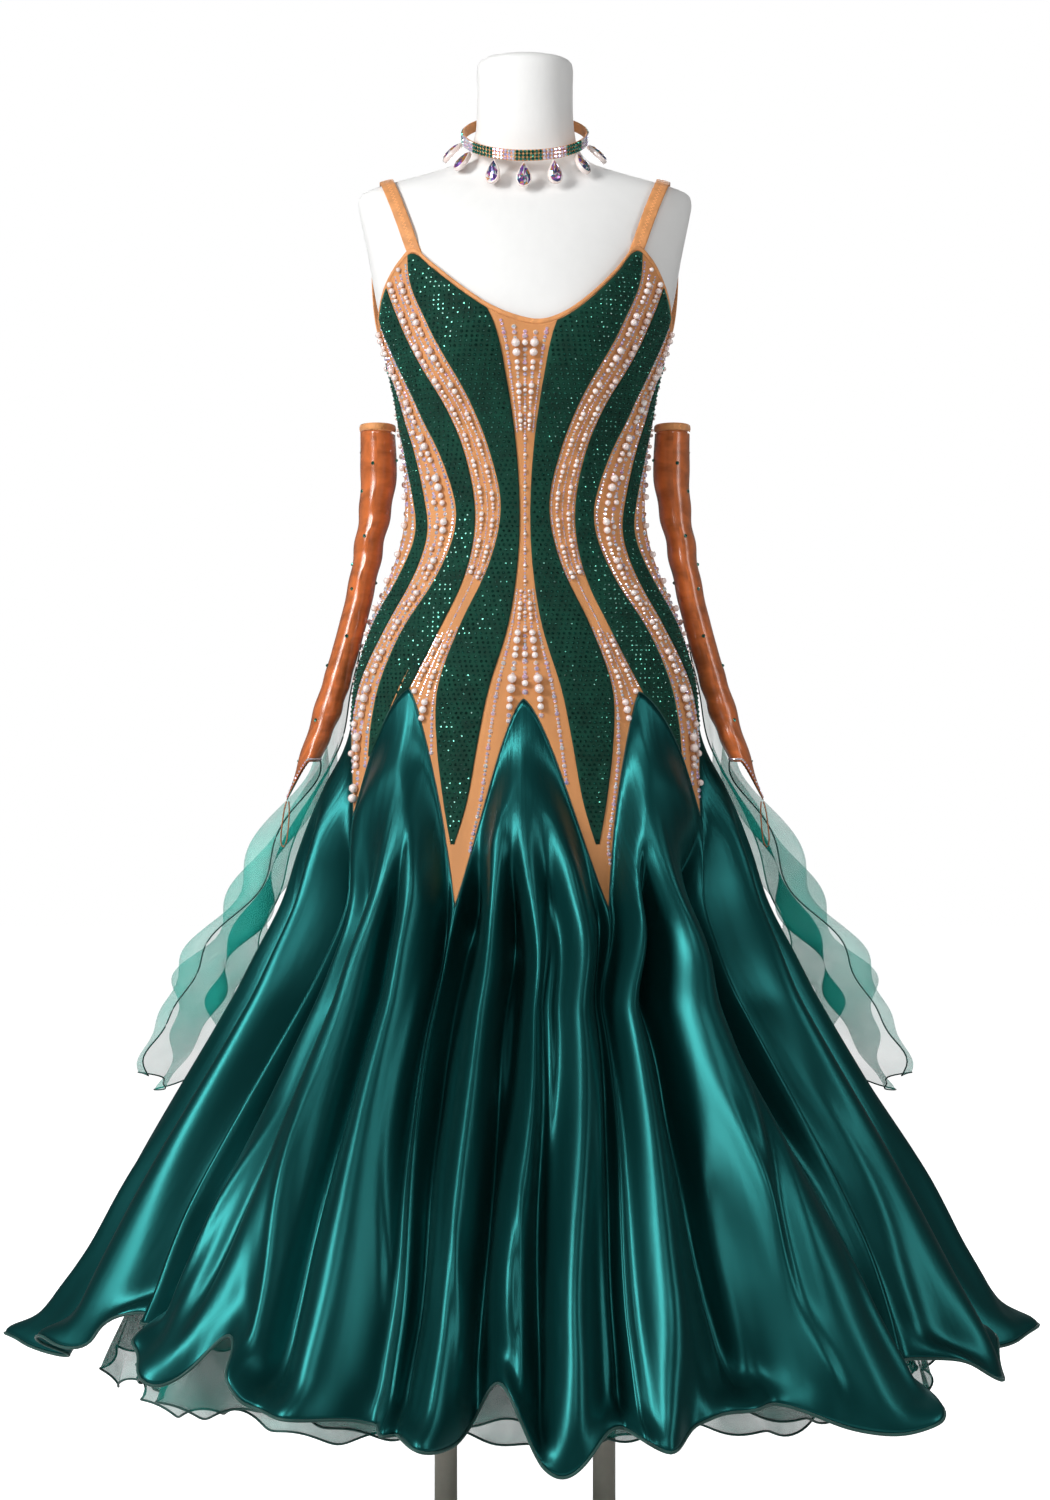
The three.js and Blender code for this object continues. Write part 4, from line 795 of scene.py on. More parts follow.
def streak_group():
    """Long soft streaks down the cloth: noise stretched along the length, coarse and fine together."""
    if "long_streaks" in bpy.data.node_groups:
        return bpy.data.node_groups["long_streaks"]
    t = node_group(
        "long_streaks",
        (("Vector", "NodeSocketVector", None), ("Across", "NodeSocketFloat", 30.0), ("Along", "NodeSocketFloat", 3.0)),
        (("Streak", "NodeSocketFloat"), ("Fine", "NodeSocketFloat")),
    )
    start = t.add("NodeGroupInput")
    size = t.add("ShaderNodeCombineXYZ", {0: start.outputs["Across"], 1: start.outputs["Along"], 2: 1.0})
    scaled = t.add(
        "ShaderNodeVectorMath", {0: start.outputs["Vector"], 1: size.outputs[0]}, operation="MULTIPLY")
    broad = t.noise(scaled.outputs[0], 1.0, 3.0, Distortion=0.4)
    fine = t.noise(scaled.outputs[0], 2.6, 2.5, Roughness=0.45)
    end = t.add("NodeGroupOutput")
    t.tree.links.new(broad, end.inputs["Streak"])
    t.tree.links.new(fine, end.inputs["Fine"])
    return t.tree


def new_material(name, constants):
    """A material with its Principled shader and the sockets that are the same all over."""
    material = bpy.data.materials.new(name + FINISH)
    material.use_nodes = True
    t = Tree(material.node_tree)
    shader = material.node_tree.nodes["Principled BSDF"]
    for key, value in constants.items():
        shader.inputs[key].default_value = value
    return material, t, shader


def cloth_vector(t):
    return t.add("ShaderNodeUVMap", uv_map="cloth").outputs["UV"]


def object_vector(t):
    return t.add("ShaderNodeTexCoord").outputs["Object"]


def use_group(t, tree, inputs):
    node = t.tree.nodes.new("ShaderNodeGroup")
    node.node_tree = tree
    return t.fill(node, inputs)


def scaled_colour(colour, factor):
    return tuple(min(1.0, c * factor) for c in colour[:3])


def wire(t, shader, colour=None, roughness=None, height=None, strength=0.3, distance=0.0004):
    """Feeds a material's colour, roughness and bump height into its shader."""
    if colour is not None:
        t.tree.links.new(colour, shader.inputs["Base Color"])
    if roughness is not None:
        t.tree.links.new(roughness, shader.inputs["Roughness"])
    if height is not None:
        bump = t.add("ShaderNodeBump", {"Height": height, "Strength": strength, "Distance": distance})
        t.tree.links.new(bump.outputs["Normal"], shader.inputs["Normal"])


def satin_material(colour):
    """Satin: dark dye with a tinted gloss that changes softly down the cloth, and fine drawn threads."""
    material, t, shader = new_material("satin", {
        "Metallic": 0.78, "Sheen Weight": 0.03, "Sheen Roughness": 0.4, "Sheen Tint": (0.2, 0.8, 0.75, 1),
        "Anisotropic": 0.2, "Specular IOR Level": 0.2,
    })
    vector = cloth_vector(t)
    streaks = use_group(t, streak_group(), {"Vector": vector, "Across": 11.0, "Along": 2.6})
    weave = use_group(t, weave_group(), {"Vector": vector, "Threads": 5200.0, "Unevenness": 0.3})
    tone = t.ramp(streaks.outputs["Streak"], (
        (0.3, scaled_colour(colour, 0.84)), (0.7, scaled_colour(colour, 1.14)),
        (0.52, scaled_colour(colour, 1.0))))
    rough = t.between(streaks.outputs["Streak"], 0.29, 0.38)
    height = t.math("ADD", streaks.outputs["Fine"], t.math("MULTIPLY", weave.outputs["Height"], 0.02))
    wire(t, shader, tone, rough, height, 0.3, 0.0022)
    return material


def velvet_material(colour):
    """Velvet: nearly black green with a soft nap that lightens at the turn of the cloth."""
    material, t, shader = new_material("velvet", {
        "Sheen Weight": 0.5, "Sheen Roughness": 0.35, "Sheen Tint": (0.15, 0.5, 0.38, 1),
        "Specular IOR Level": 0.2,
    })
    vector = object_vector(t)
    weave = use_group(t, weave_group(), {"Vector": vector, "Threads": 5000.0, "Unevenness": 1.4})
    tone = t.shades(weave.outputs["Tone"], colour, 0.6, 1.5, (0.3, 0.75))
    rough = t.between(weave.outputs["Tone"], 0.7, 0.95)
    wire(t, shader, tone, rough, weave.outputs["Height"], 0.15, 0.0005)
    return material


def mesh_material(colour):
    """Stretch mesh: a fine net of open cells over a paler ground, warmer where the net closes up."""
    material, t, shader = new_material("nude_mesh", {
        "Sheen Weight": 0.25, "Sheen Roughness": 0.5, "Sheen Tint": (1, 0.8, 0.6, 1),
        "Specular IOR Level": 0.35,
    })
    vector = cloth_vector(t)
    cells = t.add(
        "ShaderNodeTexVoronoi", {"Vector": vector, "Scale": 700.0, "Randomness": 0.25},
        feature="DISTANCE_TO_EDGE")
    net = t.between(cells.outputs["Distance"], 1.0, 0.0, stop=0.16)
    patches = t.noise(vector, 9.0, 4.0)
    ground = t.shades(patches, colour, 0.9, 1.12, (0.35, 0.7))
    threads = t.add(
        "ShaderNodeMix", {"Factor": net, "A": ground, "B": (*scaled_colour(colour, 0.68), 1)},
        data_type="RGBA")
    rough = t.between(net, 0.62, 0.45)
    wire(t, shader, threads.outputs["Result"], rough, net, 0.3, 0.0003)
    return material


def mitt_material(colour):
    """Glossy tricot: fine net with bright stretch lines across the arm."""
    material, t, shader = new_material("mitt_mesh", {
        "Coat Roughness": 0.22, "Sheen Weight": 0.15, "Sheen Tint": (1, 0.7, 0.5, 1),
        "Specular IOR Level": 0.7,
    })
    vector = cloth_vector(t)
    lines = use_group(t, streak_group(), {"Vector": vector, "Across": 22.0, "Along": 60.0})
    weave = use_group(t, weave_group(), {"Vector": vector, "Threads": 4200.0, "Unevenness": 0.5})
    tone = t.shades(lines.outputs["Streak"], colour, 0.7, 1.35, (0.32, 0.68))
    rough = t.between(lines.outputs["Fine"], 0.16, 0.3)
    coat = t.between(lines.outputs["Streak"], 0.4, 1.0)
    t.tree.links.new(coat, shader.inputs["Coat Weight"])
    height = t.math("ADD", lines.outputs["Streak"], t.math("MULTIPLY", weave.outputs["Height"], 0.1))
    wire(t, shader, tone, rough, height, 0.35, 0.0012)
    return material


def organza_material(name, colour, cover):
    """Sheer organza: crisp fine threads, more or less see-through in drifts."""
    material, t, shader = new_material(name, {
        "Sheen Weight": 0.06, "Sheen Roughness": 0.3, "Sheen Tint": (0.3, 1, 0.85, 1),
        "Specular IOR Level": 0.25,
    })
    vector = cloth_vector(t)
    weave = use_group(t, weave_group(), {"Vector": vector, "Threads": 6500.0, "Unevenness": 0.4})
    drifts = t.noise(vector, 14.0, 3.0)
    tone = t.shades(drifts, colour, 0.8, 1.25)
    alpha = t.between(drifts, cover * 0.78, cover * 1.22, 0.3, 0.7)
    rough = t.between(weave.outputs["Tone"], 0.3, 0.5)
    t.tree.links.new(alpha, shader.inputs["Alpha"])
    wire(t, shader, tone, rough, drifts, 0.05, 0.0004)
    return material


def cord_material(name, colour, gloss):
    """Closely wound thread: slanting ridges with small changes of tone."""
    material, t, shader = new_material(name, {"Sheen Weight": 0.2, "Specular IOR Level": 0.4})
    vector = object_vector(t)
    weave = use_group(t, weave_group(), {"Vector": vector, "Threads": 5000.0, "Unevenness": 0.6})
    tone = t.shades(weave.outputs["Tone"], colour, 0.7, 1.3)
    rough = t.between(weave.outputs["Tone"], gloss, gloss + 0.2)
    wire(t, shader, tone, rough, weave.outputs["Height"], 0.4, 0.0003)
    return material


def elastic_material(colour):
    """Covered elastic: fine ribs along the tape and a zigzag stitch down its middle."""
    material, t, shader = new_material("nude_elastic", {"Sheen Weight": 0.2, "Specular IOR Level": 0.4})
    vector = cloth_vector(t)
    parts = t.add("ShaderNodeSeparateXYZ", {0: vector})
    ribs = t.math("SINE", t.math("MULTIPLY", parts.outputs[0], 5200.0), 0.0)
    zigzag = t.math("PINGPONG", parts.outputs[1], 0.0022)
    offset = t.math(
        "ABSOLUTE",
        t.math("SUBTRACT", t.math("ADD", parts.outputs[0], t.math("MULTIPLY", zigzag, -1.6)), 0.0057), 0.0)
    stitch = t.math("LESS_THAN", offset, 0.0005)
    noise = t.noise(vector, 90.0, 3.0)
    ground = t.shades(noise, colour, 0.85, 1.15)
    shown = t.add(
        "ShaderNodeMix", {"Factor": stitch, "A": ground, "B": (*scaled_colour(colour, 1.5), 1)},
        data_type="RGBA")
    rough = t.between(noise, 0.4, 0.65)
    height = t.math("ADD", t.math("MULTIPLY", ribs, 0.25), stitch)
    wire(t, shader, shown.outputs["Result"], rough, height, 0.5, 0.0004)
    return material


def stone_material(name, metallic, low, high):
    """Foiled stones: the colour of each face, with a gloss that differs a little from stone to stone."""
    material, t, shader = new_material(name, {"Metallic": metallic, "Specular IOR Level": 0.9})
    tone = t.add("ShaderNodeAttribute", attribute_name="tone")
    noise = t.noise(object_vector(t), 180.0, 1.0)
    rough = t.between(noise, low, high)
    wire(t, shader, tone.outputs["Color"], rough)
    return material


def pearl_material():
    """Pearls: rosy white with a faint change of tone and a clear gloss."""
    material, t, shader = new_material(
        "pearl", {"Coat Roughness": 0.08, "Specular IOR Level": 0.7, "Metallic": 0.08})
    shader.inputs["Coat Weight"].default_value = 0.7
    noise = t.noise(object_vector(t), 60.0, 2.0)
    tone = t.ramp(noise, ((0.3, (0.86, 0.66, 0.60)), (0.55, (0.92, 0.80, 0.76)), (0.75, (0.90, 0.84, 0.80))))
    rough = t.between(noise, 0.16, 0.3)
    wire(t, shader, tone, rough)
    return material


def jersey_material(colour):
    """The form's cover: matt jersey with fine ribs and faint shade."""
    material, t, shader = new_material("form_cover", {"Sheen Weight": 0.15, "Specular IOR Level": 0.25})
    vector = cloth_vector(t)
    weave = use_group(t, weave_group(), {"Vector": vector, "Threads": 4200.0, "Unevenness": 0.1})
    tone = t.shades(weave.outputs["Tone"], colour, 0.985, 1.01)
    rough = t.between(weave.outputs["Tone"], 0.7, 0.85)
    wire(t, shader, tone, rough, weave.outputs["Height"], 0.05, 0.0002)
    return material


def paint_material(name, colour, metallic):
    """Paint on metal: slight orange peel, small scuffs and darker dust."""
    material, t, shader = new_material(name, {"Metallic": metallic, "Specular IOR Level": 0.5})
    vector = object_vector(t)
    peel = t.noise(vector, 420.0, 2.0)
    scuffs = t.noise(vector, 24.0, 6.0, Roughness=0.7)
    tone = t.shades(scuffs, colour, 0.9, 1.03, (0.3, 0.6))
    rough = t.between(scuffs, 0.3, 0.5)
    wire(t, shader, tone, rough, peel, 0.1, 0.0003)
    return material


def material_named(name):
    """The finish of that name, made at its first use with the colours of the settings."""
    if name + FINISH in bpy.data.materials:
        return bpy.data.materials[name + FINISH]
    s = bpy.context.scene.ballroom_dress
    makers = {
        "satin": lambda: satin_material(s.satin_colour),
        "velvet": lambda: velvet_material(s.velvet_colour),
        "nude_mesh": lambda: mesh_material(s.mesh_colour),
        "mitt_mesh": lambda: mitt_material(s.mitt_colour),
        "organza_float": lambda: organza_material("organza_float", s.organza_colour, s.float_cover),
        "organza_layer": lambda: organza_material(
            "organza_layer", scaled_colour(s.organza_colour, 0.45), s.layer_cover),
        "edge_cord": lambda: cord_material("edge_cord", (0.006, 0.06, 0.05), 0.4),
        "elastic_cord": lambda: cord_material("elastic_cord", (0.36, 0.14, 0.06), 0.25),
        "nude_elastic": lambda: elastic_material(s.mesh_colour),
        "crystal": lambda: stone_material("crystal", 0.45, 0.03, 0.16),
        "velvet_stone": lambda: stone_material("velvet_stone", 0.7, 0.06, 0.2),
        "pearl": pearl_material,
        "form_cover": lambda: jersey_material(s.form_colour),
        "post_paint": lambda: paint_material("post_paint", (0.68, 0.62, 0.53), 0.0),
        "plate_steel": lambda: paint_material("plate_steel", (0.8, 0.8, 0.79), 0.2),
    }
    return makers[name]()


def finish(piece, material, nodes=()):
    """Gives a piece its material and slot, lets it ride on the one body, and stands it for CAD nodes."""
    piece.data.materials.append(material_named(material))
    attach(piece, "root")
    if nodes:
        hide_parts(*nodes)
    return piece


# ---- pieces: form and stand ----
def form_points():
    """The form: the body's oval eased in, with shoulders and neck above and a tucked foot below."""
    upper = {key: BODY[key][BODY["z"] > 840] for key in BODY}
    rows = joined(SHOULDERS, upper, FORM_FOOT)
    top = np.linspace(1637.5, 1460, 60)
    z = np.concatenate((top, np.linspace(1455, 704, 90)))[:, None]
    angle = np.linspace(0, 360, 96, endpoint=False)[None]
    out = bust_out(angle, z) - FORM_EASE
    x, y = ring_point(
        curve(rows, "z", "width")(z), curve(rows, "z", "front")(z), curve(rows, "z", "back")(z), angle, out)
    return np.stack((x, y, np.broadcast_to(z, x.shape)), -1)


def closed_rings(points, top, bottom):
    """A stack of rings closed by a fan to a point above and one below."""
    rows, columns = points.shape[:2]
    quads = grid_faces(rows, columns, True)
    faces = np.concatenate((quads[:, [0, 1, 2]], quads[:, [0, 2, 3]]))
    j = np.arange(columns)
    k = (j + 1) % columns
    count = rows * columns
    last = (rows - 1) * columns
    upper = np.stack((np.full(columns, count), j, k), -1)
    lower = np.stack((np.full(columns, count + 1), last + k, last + j), -1)
    verts = np.concatenate((points.reshape(-1, 3), [top, bottom]))
    return verts, np.concatenate((faces, upper, lower))


def corner_uv(verts, faces):
    """Plain coordinates for round pieces: distance round the upright axis and height, in metres."""
    p = verts[faces]
    round_angle = np.arctan2(p[..., 0], -p[..., 1])
    round_angle = np.where(round_angle - round_angle[:, :1] > np.pi, round_angle - 2 * np.pi, round_angle)
    round_angle = np.where(round_angle - round_angle[:, :1] < -np.pi, round_angle + 2 * np.pi, round_angle)
    return np.stack((round_angle * 0.16, p[..., 2] * MM), -1)


def build_form():
    verts, faces = closed_rings(form_points(), (0, 0, 1639), (0, 0, 704))
    form = put_mesh("form_shell", verts, faces, uv=corner_uv(verts, faces))
    finish(form, "form_cover", ["dress_form"])


def build_stand():
    """Posts as turned bars with a small chamfer at both ends; the plate keeps its own solid."""
    profile = table("z radius", [
        (POST["top"], POST["radius"] - 1), (POST["top"] - 1, POST["radius"]),
        (POST["bottom"] + 1, POST["radius"]),
        (POST["bottom"], POST["radius"] - 1)])
    a = np.linspace(0, 2 * np.pi, 48, endpoint=False)
    for name, side in (("left", -1), ("right", 1)):
        x = side * POST["x"] + profile["radius"][:, None] * np.sin(a)
        y = -profile["radius"][:, None] * np.cos(a)
        points = np.stack((x, y, np.broadcast_to(profile["z"][:, None], x.shape)), -1)
        verts, faces = closed_rings(
            points, (side * POST["x"], 0, POST["top"]), (side * POST["x"], 0, POST["bottom"]))
        post = put_mesh(f"stand_post_{name}", verts, faces)
        edges = post.modifiers.new("edges", "EDGE_SPLIT")
        edges.split_angle = math.radians(35)
        finish(post, "post_paint", [f"post_{name}"])
    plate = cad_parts["base_plate"]
    plate.data.materials.clear()
    plate.data.materials.append(material_named("plate_steel"))


# ---- pieces: bodice ----
def side_columns():
    """The arch columns nearest to the two side seams, counted at every third column."""
    coarse = ARCH_ANGLES[:: ARCH_STEPS // 8]
    right = int(np.argmin(np.abs(coarse - 90))) * (ARCH_STEPS // 8)
    left = int(np.argmin(np.abs(coarse - 270))) * (ARCH_STEPS // 8)
    return left, right


def bodice_grid(first, last):
    """The bodice between two columns: straight down from the neck edge to the satin's arches."""
    k = np.arange(first, last + 1)
    angle = ARCH_ANGLES[k % len(ARCH_ANGLES)] + 360.0 * (k // len(ARCH_ANGLES))
    edge = np.zeros(len(k))
    edge[0] = 0.1
    edge[-1] = -0.1
    bottom = ARCH_HEIGHTS[k % len(ARCH_ANGLES)] + SEAM_GAP
    v = np.linspace(0, 1, BODICE_GRID["down"])[:, None] ** BODICE_GRID["spacing"]
    z = lerp(top_edge(angle)[None], bottom[None], v)
    return body_point((angle + edge)[None], z, MESH_OUT)


def build_bodice():
    left, right = side_columns()
    for name, first, last in (("front", left - len(ARCH_ANGLES), right), ("back", right, left)):
        points = bodice_grid(first, last)
        piece = put_sheet(f"mesh_bodice_{name}", points, wall=0.9)
        finish(piece, "nude_mesh", [f"bodice_{name}_mesh"])


def panel_bend(name, z):
    rows = PANELS[name]
    return curve(rows, "z", "centre")(z), np.maximum(LEAST_HALF, curve(rows, "z", "half")(z))


def panel_angle(name, side, bend):
    return side * (180 - bend) if name in BACK_PANELS else side * bend


def panel_grid(name, side, out):
    """A velvet panel: across its width and down its line, trimmed to the neck edge and the arches."""
    rows = PANELS[name]
    s = np.linspace(-1, 1, PANEL_GRID["across"])
    fine = np.linspace(rows["z"][0], rows["z"][-1], PANEL_GRID["search"])
    centre, half = panel_bend(name, fine)
    bend = centre[:, None] + s * half[:, None]
    angle = panel_angle(name, side, bend)
    under_edge = fine[:, None] <= top_edge(angle) - PANEL_TRIM["top"]
    inside = under_edge & (fine[:, None] >= arch_at(angle) + PANEL_TRIM["bottom"])
    first = fine[np.argmax(inside, axis=0)]
    last = fine[len(fine) - 1 - np.argmax(inside[::-1], axis=0)]
    z = lerp(first[None], last[None], np.linspace(0, 1, PANEL_GRID["down"])[:, None])
    centre, half = panel_bend(name, z)
    angle = panel_angle(name, side, centre + s[None] * half)
    points = body_point(angle, z, out)
    flip = (side < 0) != (name in BACK_PANELS)
    return points[:, ::-1] if flip else points


def build_velvet():
    for name in PANELS:
        for label, side in (("right", 1), ("left", -1)):
            points = panel_grid(name, side, VELVET_OUT)
            piece = put_sheet(f"velvet_panel_{name}_{label}", points, wall=0.9)
            finish(piece, "velvet", [f"velvet_{name}_{label}"])


def build_velvet_stones(pitch):
    """Stones in staggered rows all over the velvet, spaced by the local girth of the body."""
    chance = np.random.default_rng(SEED)
    for label, names in (("front", ("front_inner", "front_outer", "side")), ("back", BACK_PANELS)):
        centres = []
        normals = []
        for name in names:
            for side in (1, -1):
                z = np.arange(PANELS[name]["z"][-1] + 4, PANELS[name]["z"][0], pitch * 0.866)[:, None]
                k = np.arange(-14, 15)[None]
                centre, half = panel_bend(name, z)
                per_degree = np.linalg.norm(
                    body_point(centre + 0.5, z, 0) - body_point(centre - 0.5, z, 0), axis=-1)
                stagger = 0.5 * (np.arange(len(z))[:, None] % 2)
                offset = (k + stagger) * pitch / per_degree
                angle = panel_angle(name, side, centre + offset)
                margin = half - 2.2 / per_degree
                keep = (np.abs(offset) < margin) & (z < top_edge(angle) - 4) & (z > arch_at(angle) + 4)
                a = angle[keep] + chance.normal(0, 0.08, keep.sum())
                height = np.broadcast_to(z, angle.shape)[keep]
                centres.append(body_point(a, height, VELVET_OUT - 0.05))
                normals.append(body_normal(a, height))
        centres = np.concatenate(centres)
        normals = unit(np.concatenate(normals) + chance.normal(0, 0.1, centres.shape))
        sizes = chance.uniform(3.0, 3.7, len(centres))
        piece = scatter(
            f"velvet_stones_{label}", stone_shape(6, TABLE_SHARE, 0.32), centres, normals, sizes, emerald)
        finish(piece, "velvet_stone")


# ---- pieces: beads ----
def gap_edges(gap, z):
    """The two sides of a nude gap, as bends from the middle of the front or back."""
    inner, outer, _ = GAPS[gap]
    outer_bend = np.full_like(z, 89.0)
    if outer:
        centre, half = panel_bend(outer, z)
        outer_bend = centre - half
    if inner is None:
        return -outer_bend, outer_bend
    centre, half = panel_bend(inner, z)
    return centre + half, outer_bend


def bead_row(gap, share, pattern, side):
    """Beads strung one after another down a row, smaller where the gap is narrow."""
    z = np.arange(1420.0, 700.0, -1.0)
    low, high = gap_edges(gap, z)
    bend = lerp(low, high, share)
    angle = panel_angle("back_inner" if gap.startswith("back") else "front_inner", side, bend)
    points = body_point(angle, z, MESH_OUT)
    per_degree = np.linalg.norm(body_point(angle + 0.5, z, 0) - body_point(angle - 0.5, z, 0), axis=-1)
    pitch = (high - low) * per_degree / (len(GAPS[gap][2]) + 0.4)
    room = (pitch > LEAST_ROW_PITCH) | ((abs(share - 0.5) < 0.1) & (pitch > 1.2))
    keep = room & (z < top_edge(angle) - 5) & (z > arch_at(angle) + 6)
    travel = np.concatenate(([0], np.cumsum(np.linalg.norm(np.diff(points, axis=0), axis=-1))))
    factor = np.clip(pitch / FULL_ROW_PITCH, 0.5, 1.0)
    sequence = PATTERNS[pattern]
    beads = []
    at = 4.0
    k = 0
    while at < travel[-1]:
        i = int(np.searchsorted(travel, at))
        kind, size = sequence[k % len(sequence)]
        size *= factor[i]
        if keep[i]:
            beads.append((kind, size, *points[i], angle[i], z[i]))
        at += size * 1.04 + 0.35
        k += 1
    return beads


def build_beads():
    for place in ("front", "back"):
        beads = []
        for gap, (inner, _, rows) in GAPS.items():
            if not gap.startswith(place):
                continue
            for share, pattern in rows:
                for side in ((1,) if inner is None else (1, -1)):
                    beads.extend(bead_row(gap, share, pattern, side))
        for kind, shape, material, tones in (
            ("pearl", pearl_shape(), "pearl", None),
            ("crystal", stone_shape(8, TABLE_SHARE, 0.36), "crystal", iridescent),
        ):
            chosen = np.array([bead[1:] for bead in beads if bead[0] == kind])
            normals = body_normal(chosen[:, 4], chosen[:, 5])
            piece = scatter(
                f"{kind}_rows_{place}", shape, chosen[:, 1:4], normals, chosen[:, 0], tones, kind == "pearl")
            finish(piece, material)


# ---- pieces: binding and straps ----
def build_binding():
    """A folded binding on the bodice's upper edge: a flattened oval section carried round the edge."""
    angle = np.linspace(0, 360, 420, endpoint=False)
    a = np.linspace(0, 2 * np.pi, 12, endpoint=False)
    middle = top_edge(angle) + BINDING["height"] / 2
    z = middle[None] + BINDING["height"] / 2 * np.cos(a)[:, None]
    out = 1.9 + BINDING["wall"] / 2 * np.sin(a)[:, None]
    points = body_point(np.broadcast_to(angle, z.shape), z, out)
    points = np.concatenate((points, points[:1]))
    piece = put_mesh(
        "edge_binding", points.reshape(-1, 3), grid_faces(len(points), 420, True), uv=grid_uv(points, True))
    finish(piece, "nude_elastic", ["neckline_binding"])


def strap_path():
    """The strap's route, each station on the form's oval at its height."""
    rows = joined(SHOULDERS, BODY)
    width = curve(rows, "z", "width")(STRAP["z"])
    depth = np.where(
        STRAP["face"] < 0, curve(rows, "z", "front")(STRAP["z"]), curve(rows, "z", "back")(STRAP["z"]))
    share = np.sqrt(np.maximum(0, 1 - (STRAP["x"] / width) ** 2))
    return path_through(np.stack((STRAP["x"], STRAP["face"] * depth * share, STRAP["z"]), -1), 120)


def build_straps():
    """A flat tape: its width carried along the route, level with the shoulder, edges a little rolled,
    and both ends sunk behind the bodice's bound edge."""
    path = strap_path()
    deep = np.where(path[:, 1] < 0, body_front(path[:, 2]), body_back(path[:, 2]))
    angle = np.degrees(np.arctan2(path[:, 0] / body_width(path[:, 2]), -path[:, 1] / deep))
    above = path[:, 2] - top_edge(angle) - BINDING["height"]
    lift = STRAP_SIZE["lift"] - STRAP_SINK["depth"] * ease(1 - above / STRAP_SINK["reach"])
    along = unit(np.gradient(path, axis=0))
    middle = np.stack(
        (path[:, 0] * STRAP_CENTRE["across"], 0 * path[:, 1], 0 * path[:, 2] + STRAP_CENTRE["z"]), -1)
    away = path - middle
    away = unit(away - along * (away * along).sum(-1, keepdims=True))
    side = unit(np.cross(along, away))
    across = np.linspace(0.5, -0.5, 11)
    height = lift[:, None] + STRAP_SIZE["thick"] - 0.5 * (2 * across[None]) ** 4
    points = path[:, None] + side[:, None] * (across * STRAP_SIZE["width"])[None, :, None]
    points = points + away[:, None] * height[:, :, None]
    for name, sign in (("left", -1), ("right", 1)):
        placed = points * np.array([sign, 1, 1])
        placed = placed[:, ::-1] if sign < 0 else placed
        piece = put_sheet(f"shoulder_strap_{name}", placed, wall=1.1)
        finish(piece, "nude_elastic", [f"strap_{name}"])


# ---- pieces: skirt ----
def build_skirt(depth, edge_cord):
    edges = []
    seams = []
    for index, name in enumerate(GODET_NAMES):
        u = np.linspace(-1, 1, GODET_GRID["across"])[None]
        upper = np.linspace(0, GODET_GRID["split"][0], GODET_GRID["upper"])
        lower = np.linspace(GODET_GRID["split"][1], 1, GODET_GRID["lower"])
        v = np.concatenate((upper, lower))[:, None]
        points = godet_point(index, u, v, SATIN_OUT, depth)
        piece = put_sheet(f"satin_{name}", points, wall=0.9)
        finish(piece, "satin", [name])
        edges.append(points[-1])
        seams.append(tube(points[0] + [0, 0, 0.2], 0.8, sides=6))
    path = np.concatenate(edges)
    verts, faces = tube(path, edge_cord / 2, sides=8, closed=True)
    finish(put_mesh("satin_hem_cord", verts, faces), "edge_cord")
    verts, faces = joined_meshes(seams)
    finish(put_mesh("satin_top_seams", verts, faces), "edge_cord")


def underskirt_points(k, depth):
    """An organza ring: the skirt's oval set in, waved more towards its lower edge, and pressed in
    wherever the satin's valleys lie deeper than it does."""
    row = {key: UNDERSKIRTS[key][k] for key in UNDERSKIRTS}
    angle = np.linspace(0, 360, UNDERSKIRT_GRID["around"], endpoint=False)[None]
    v = np.linspace(0, 1, UNDERSKIRT_GRID["down"])[:, None]
    phase = np.radians(angle + row["turn"]) * row["waves"]
    small = UNDERSKIRT_SMALL
    scallop = small["rise"] * np.sin(phase * small["times"] + small["rise_start"])
    z = lerp(row["top"], UNDERSKIRT_HEM - row["drop"] + row["lift"] * np.cos(phase) + scallop, v)
    flare = small["out"] * np.sin(phase * small["times"] + small["out_start"])
    wave = row["wave"] * np.sin(phase) * v * v + flare * v ** 3
    satin = np.stack([satin_lift_at(angle[0], level, depth) for level in z.mean(axis=1)])
    out = np.minimum(wave - row["inset"] + 1, satin - row["clear"])
    x, y = ring_point(body_width(z), body_front(z), body_back(z), angle, out)
    return np.stack((x, y, z), -1)


def build_underskirts(edge_cord, depth):
    for k, name in enumerate(("upper", "lower")):
        points = underskirt_points(k, depth)
        piece = put_sheet(f"organza_layer_{name}", points, wrap=True, wall=0.3)
        finish(piece, "organza_layer", [f"organza_underskirt_{name}"])
        verts, faces = tube(points[-1], edge_cord * 0.4, sides=6, closed=True)
        finish(put_mesh(f"organza_layer_{name}_cord", verts, faces), "edge_cord")


# ---- pieces: mitts ----
mitt_x = curve(MITT, "z", "x")
mitt_y = curve(MITT, "z", "y")
mitt_across = curve(MITT, "z", "across")
mitt_deep = curve(MITT, "z", "deep")


def mitt_point(side, z, around, out):
    """A point of the mitt's oval at a height; around runs from 0 at the front to 1."""
    a = around * 2 * np.pi
    x = mitt_x(z) + (mitt_across(z) + out) * np.sin(a)
    y = mitt_y(z) - (mitt_deep(z) + out) * np.cos(a)
    return np.stack(np.broadcast_arrays(side * x, y, z), -1)


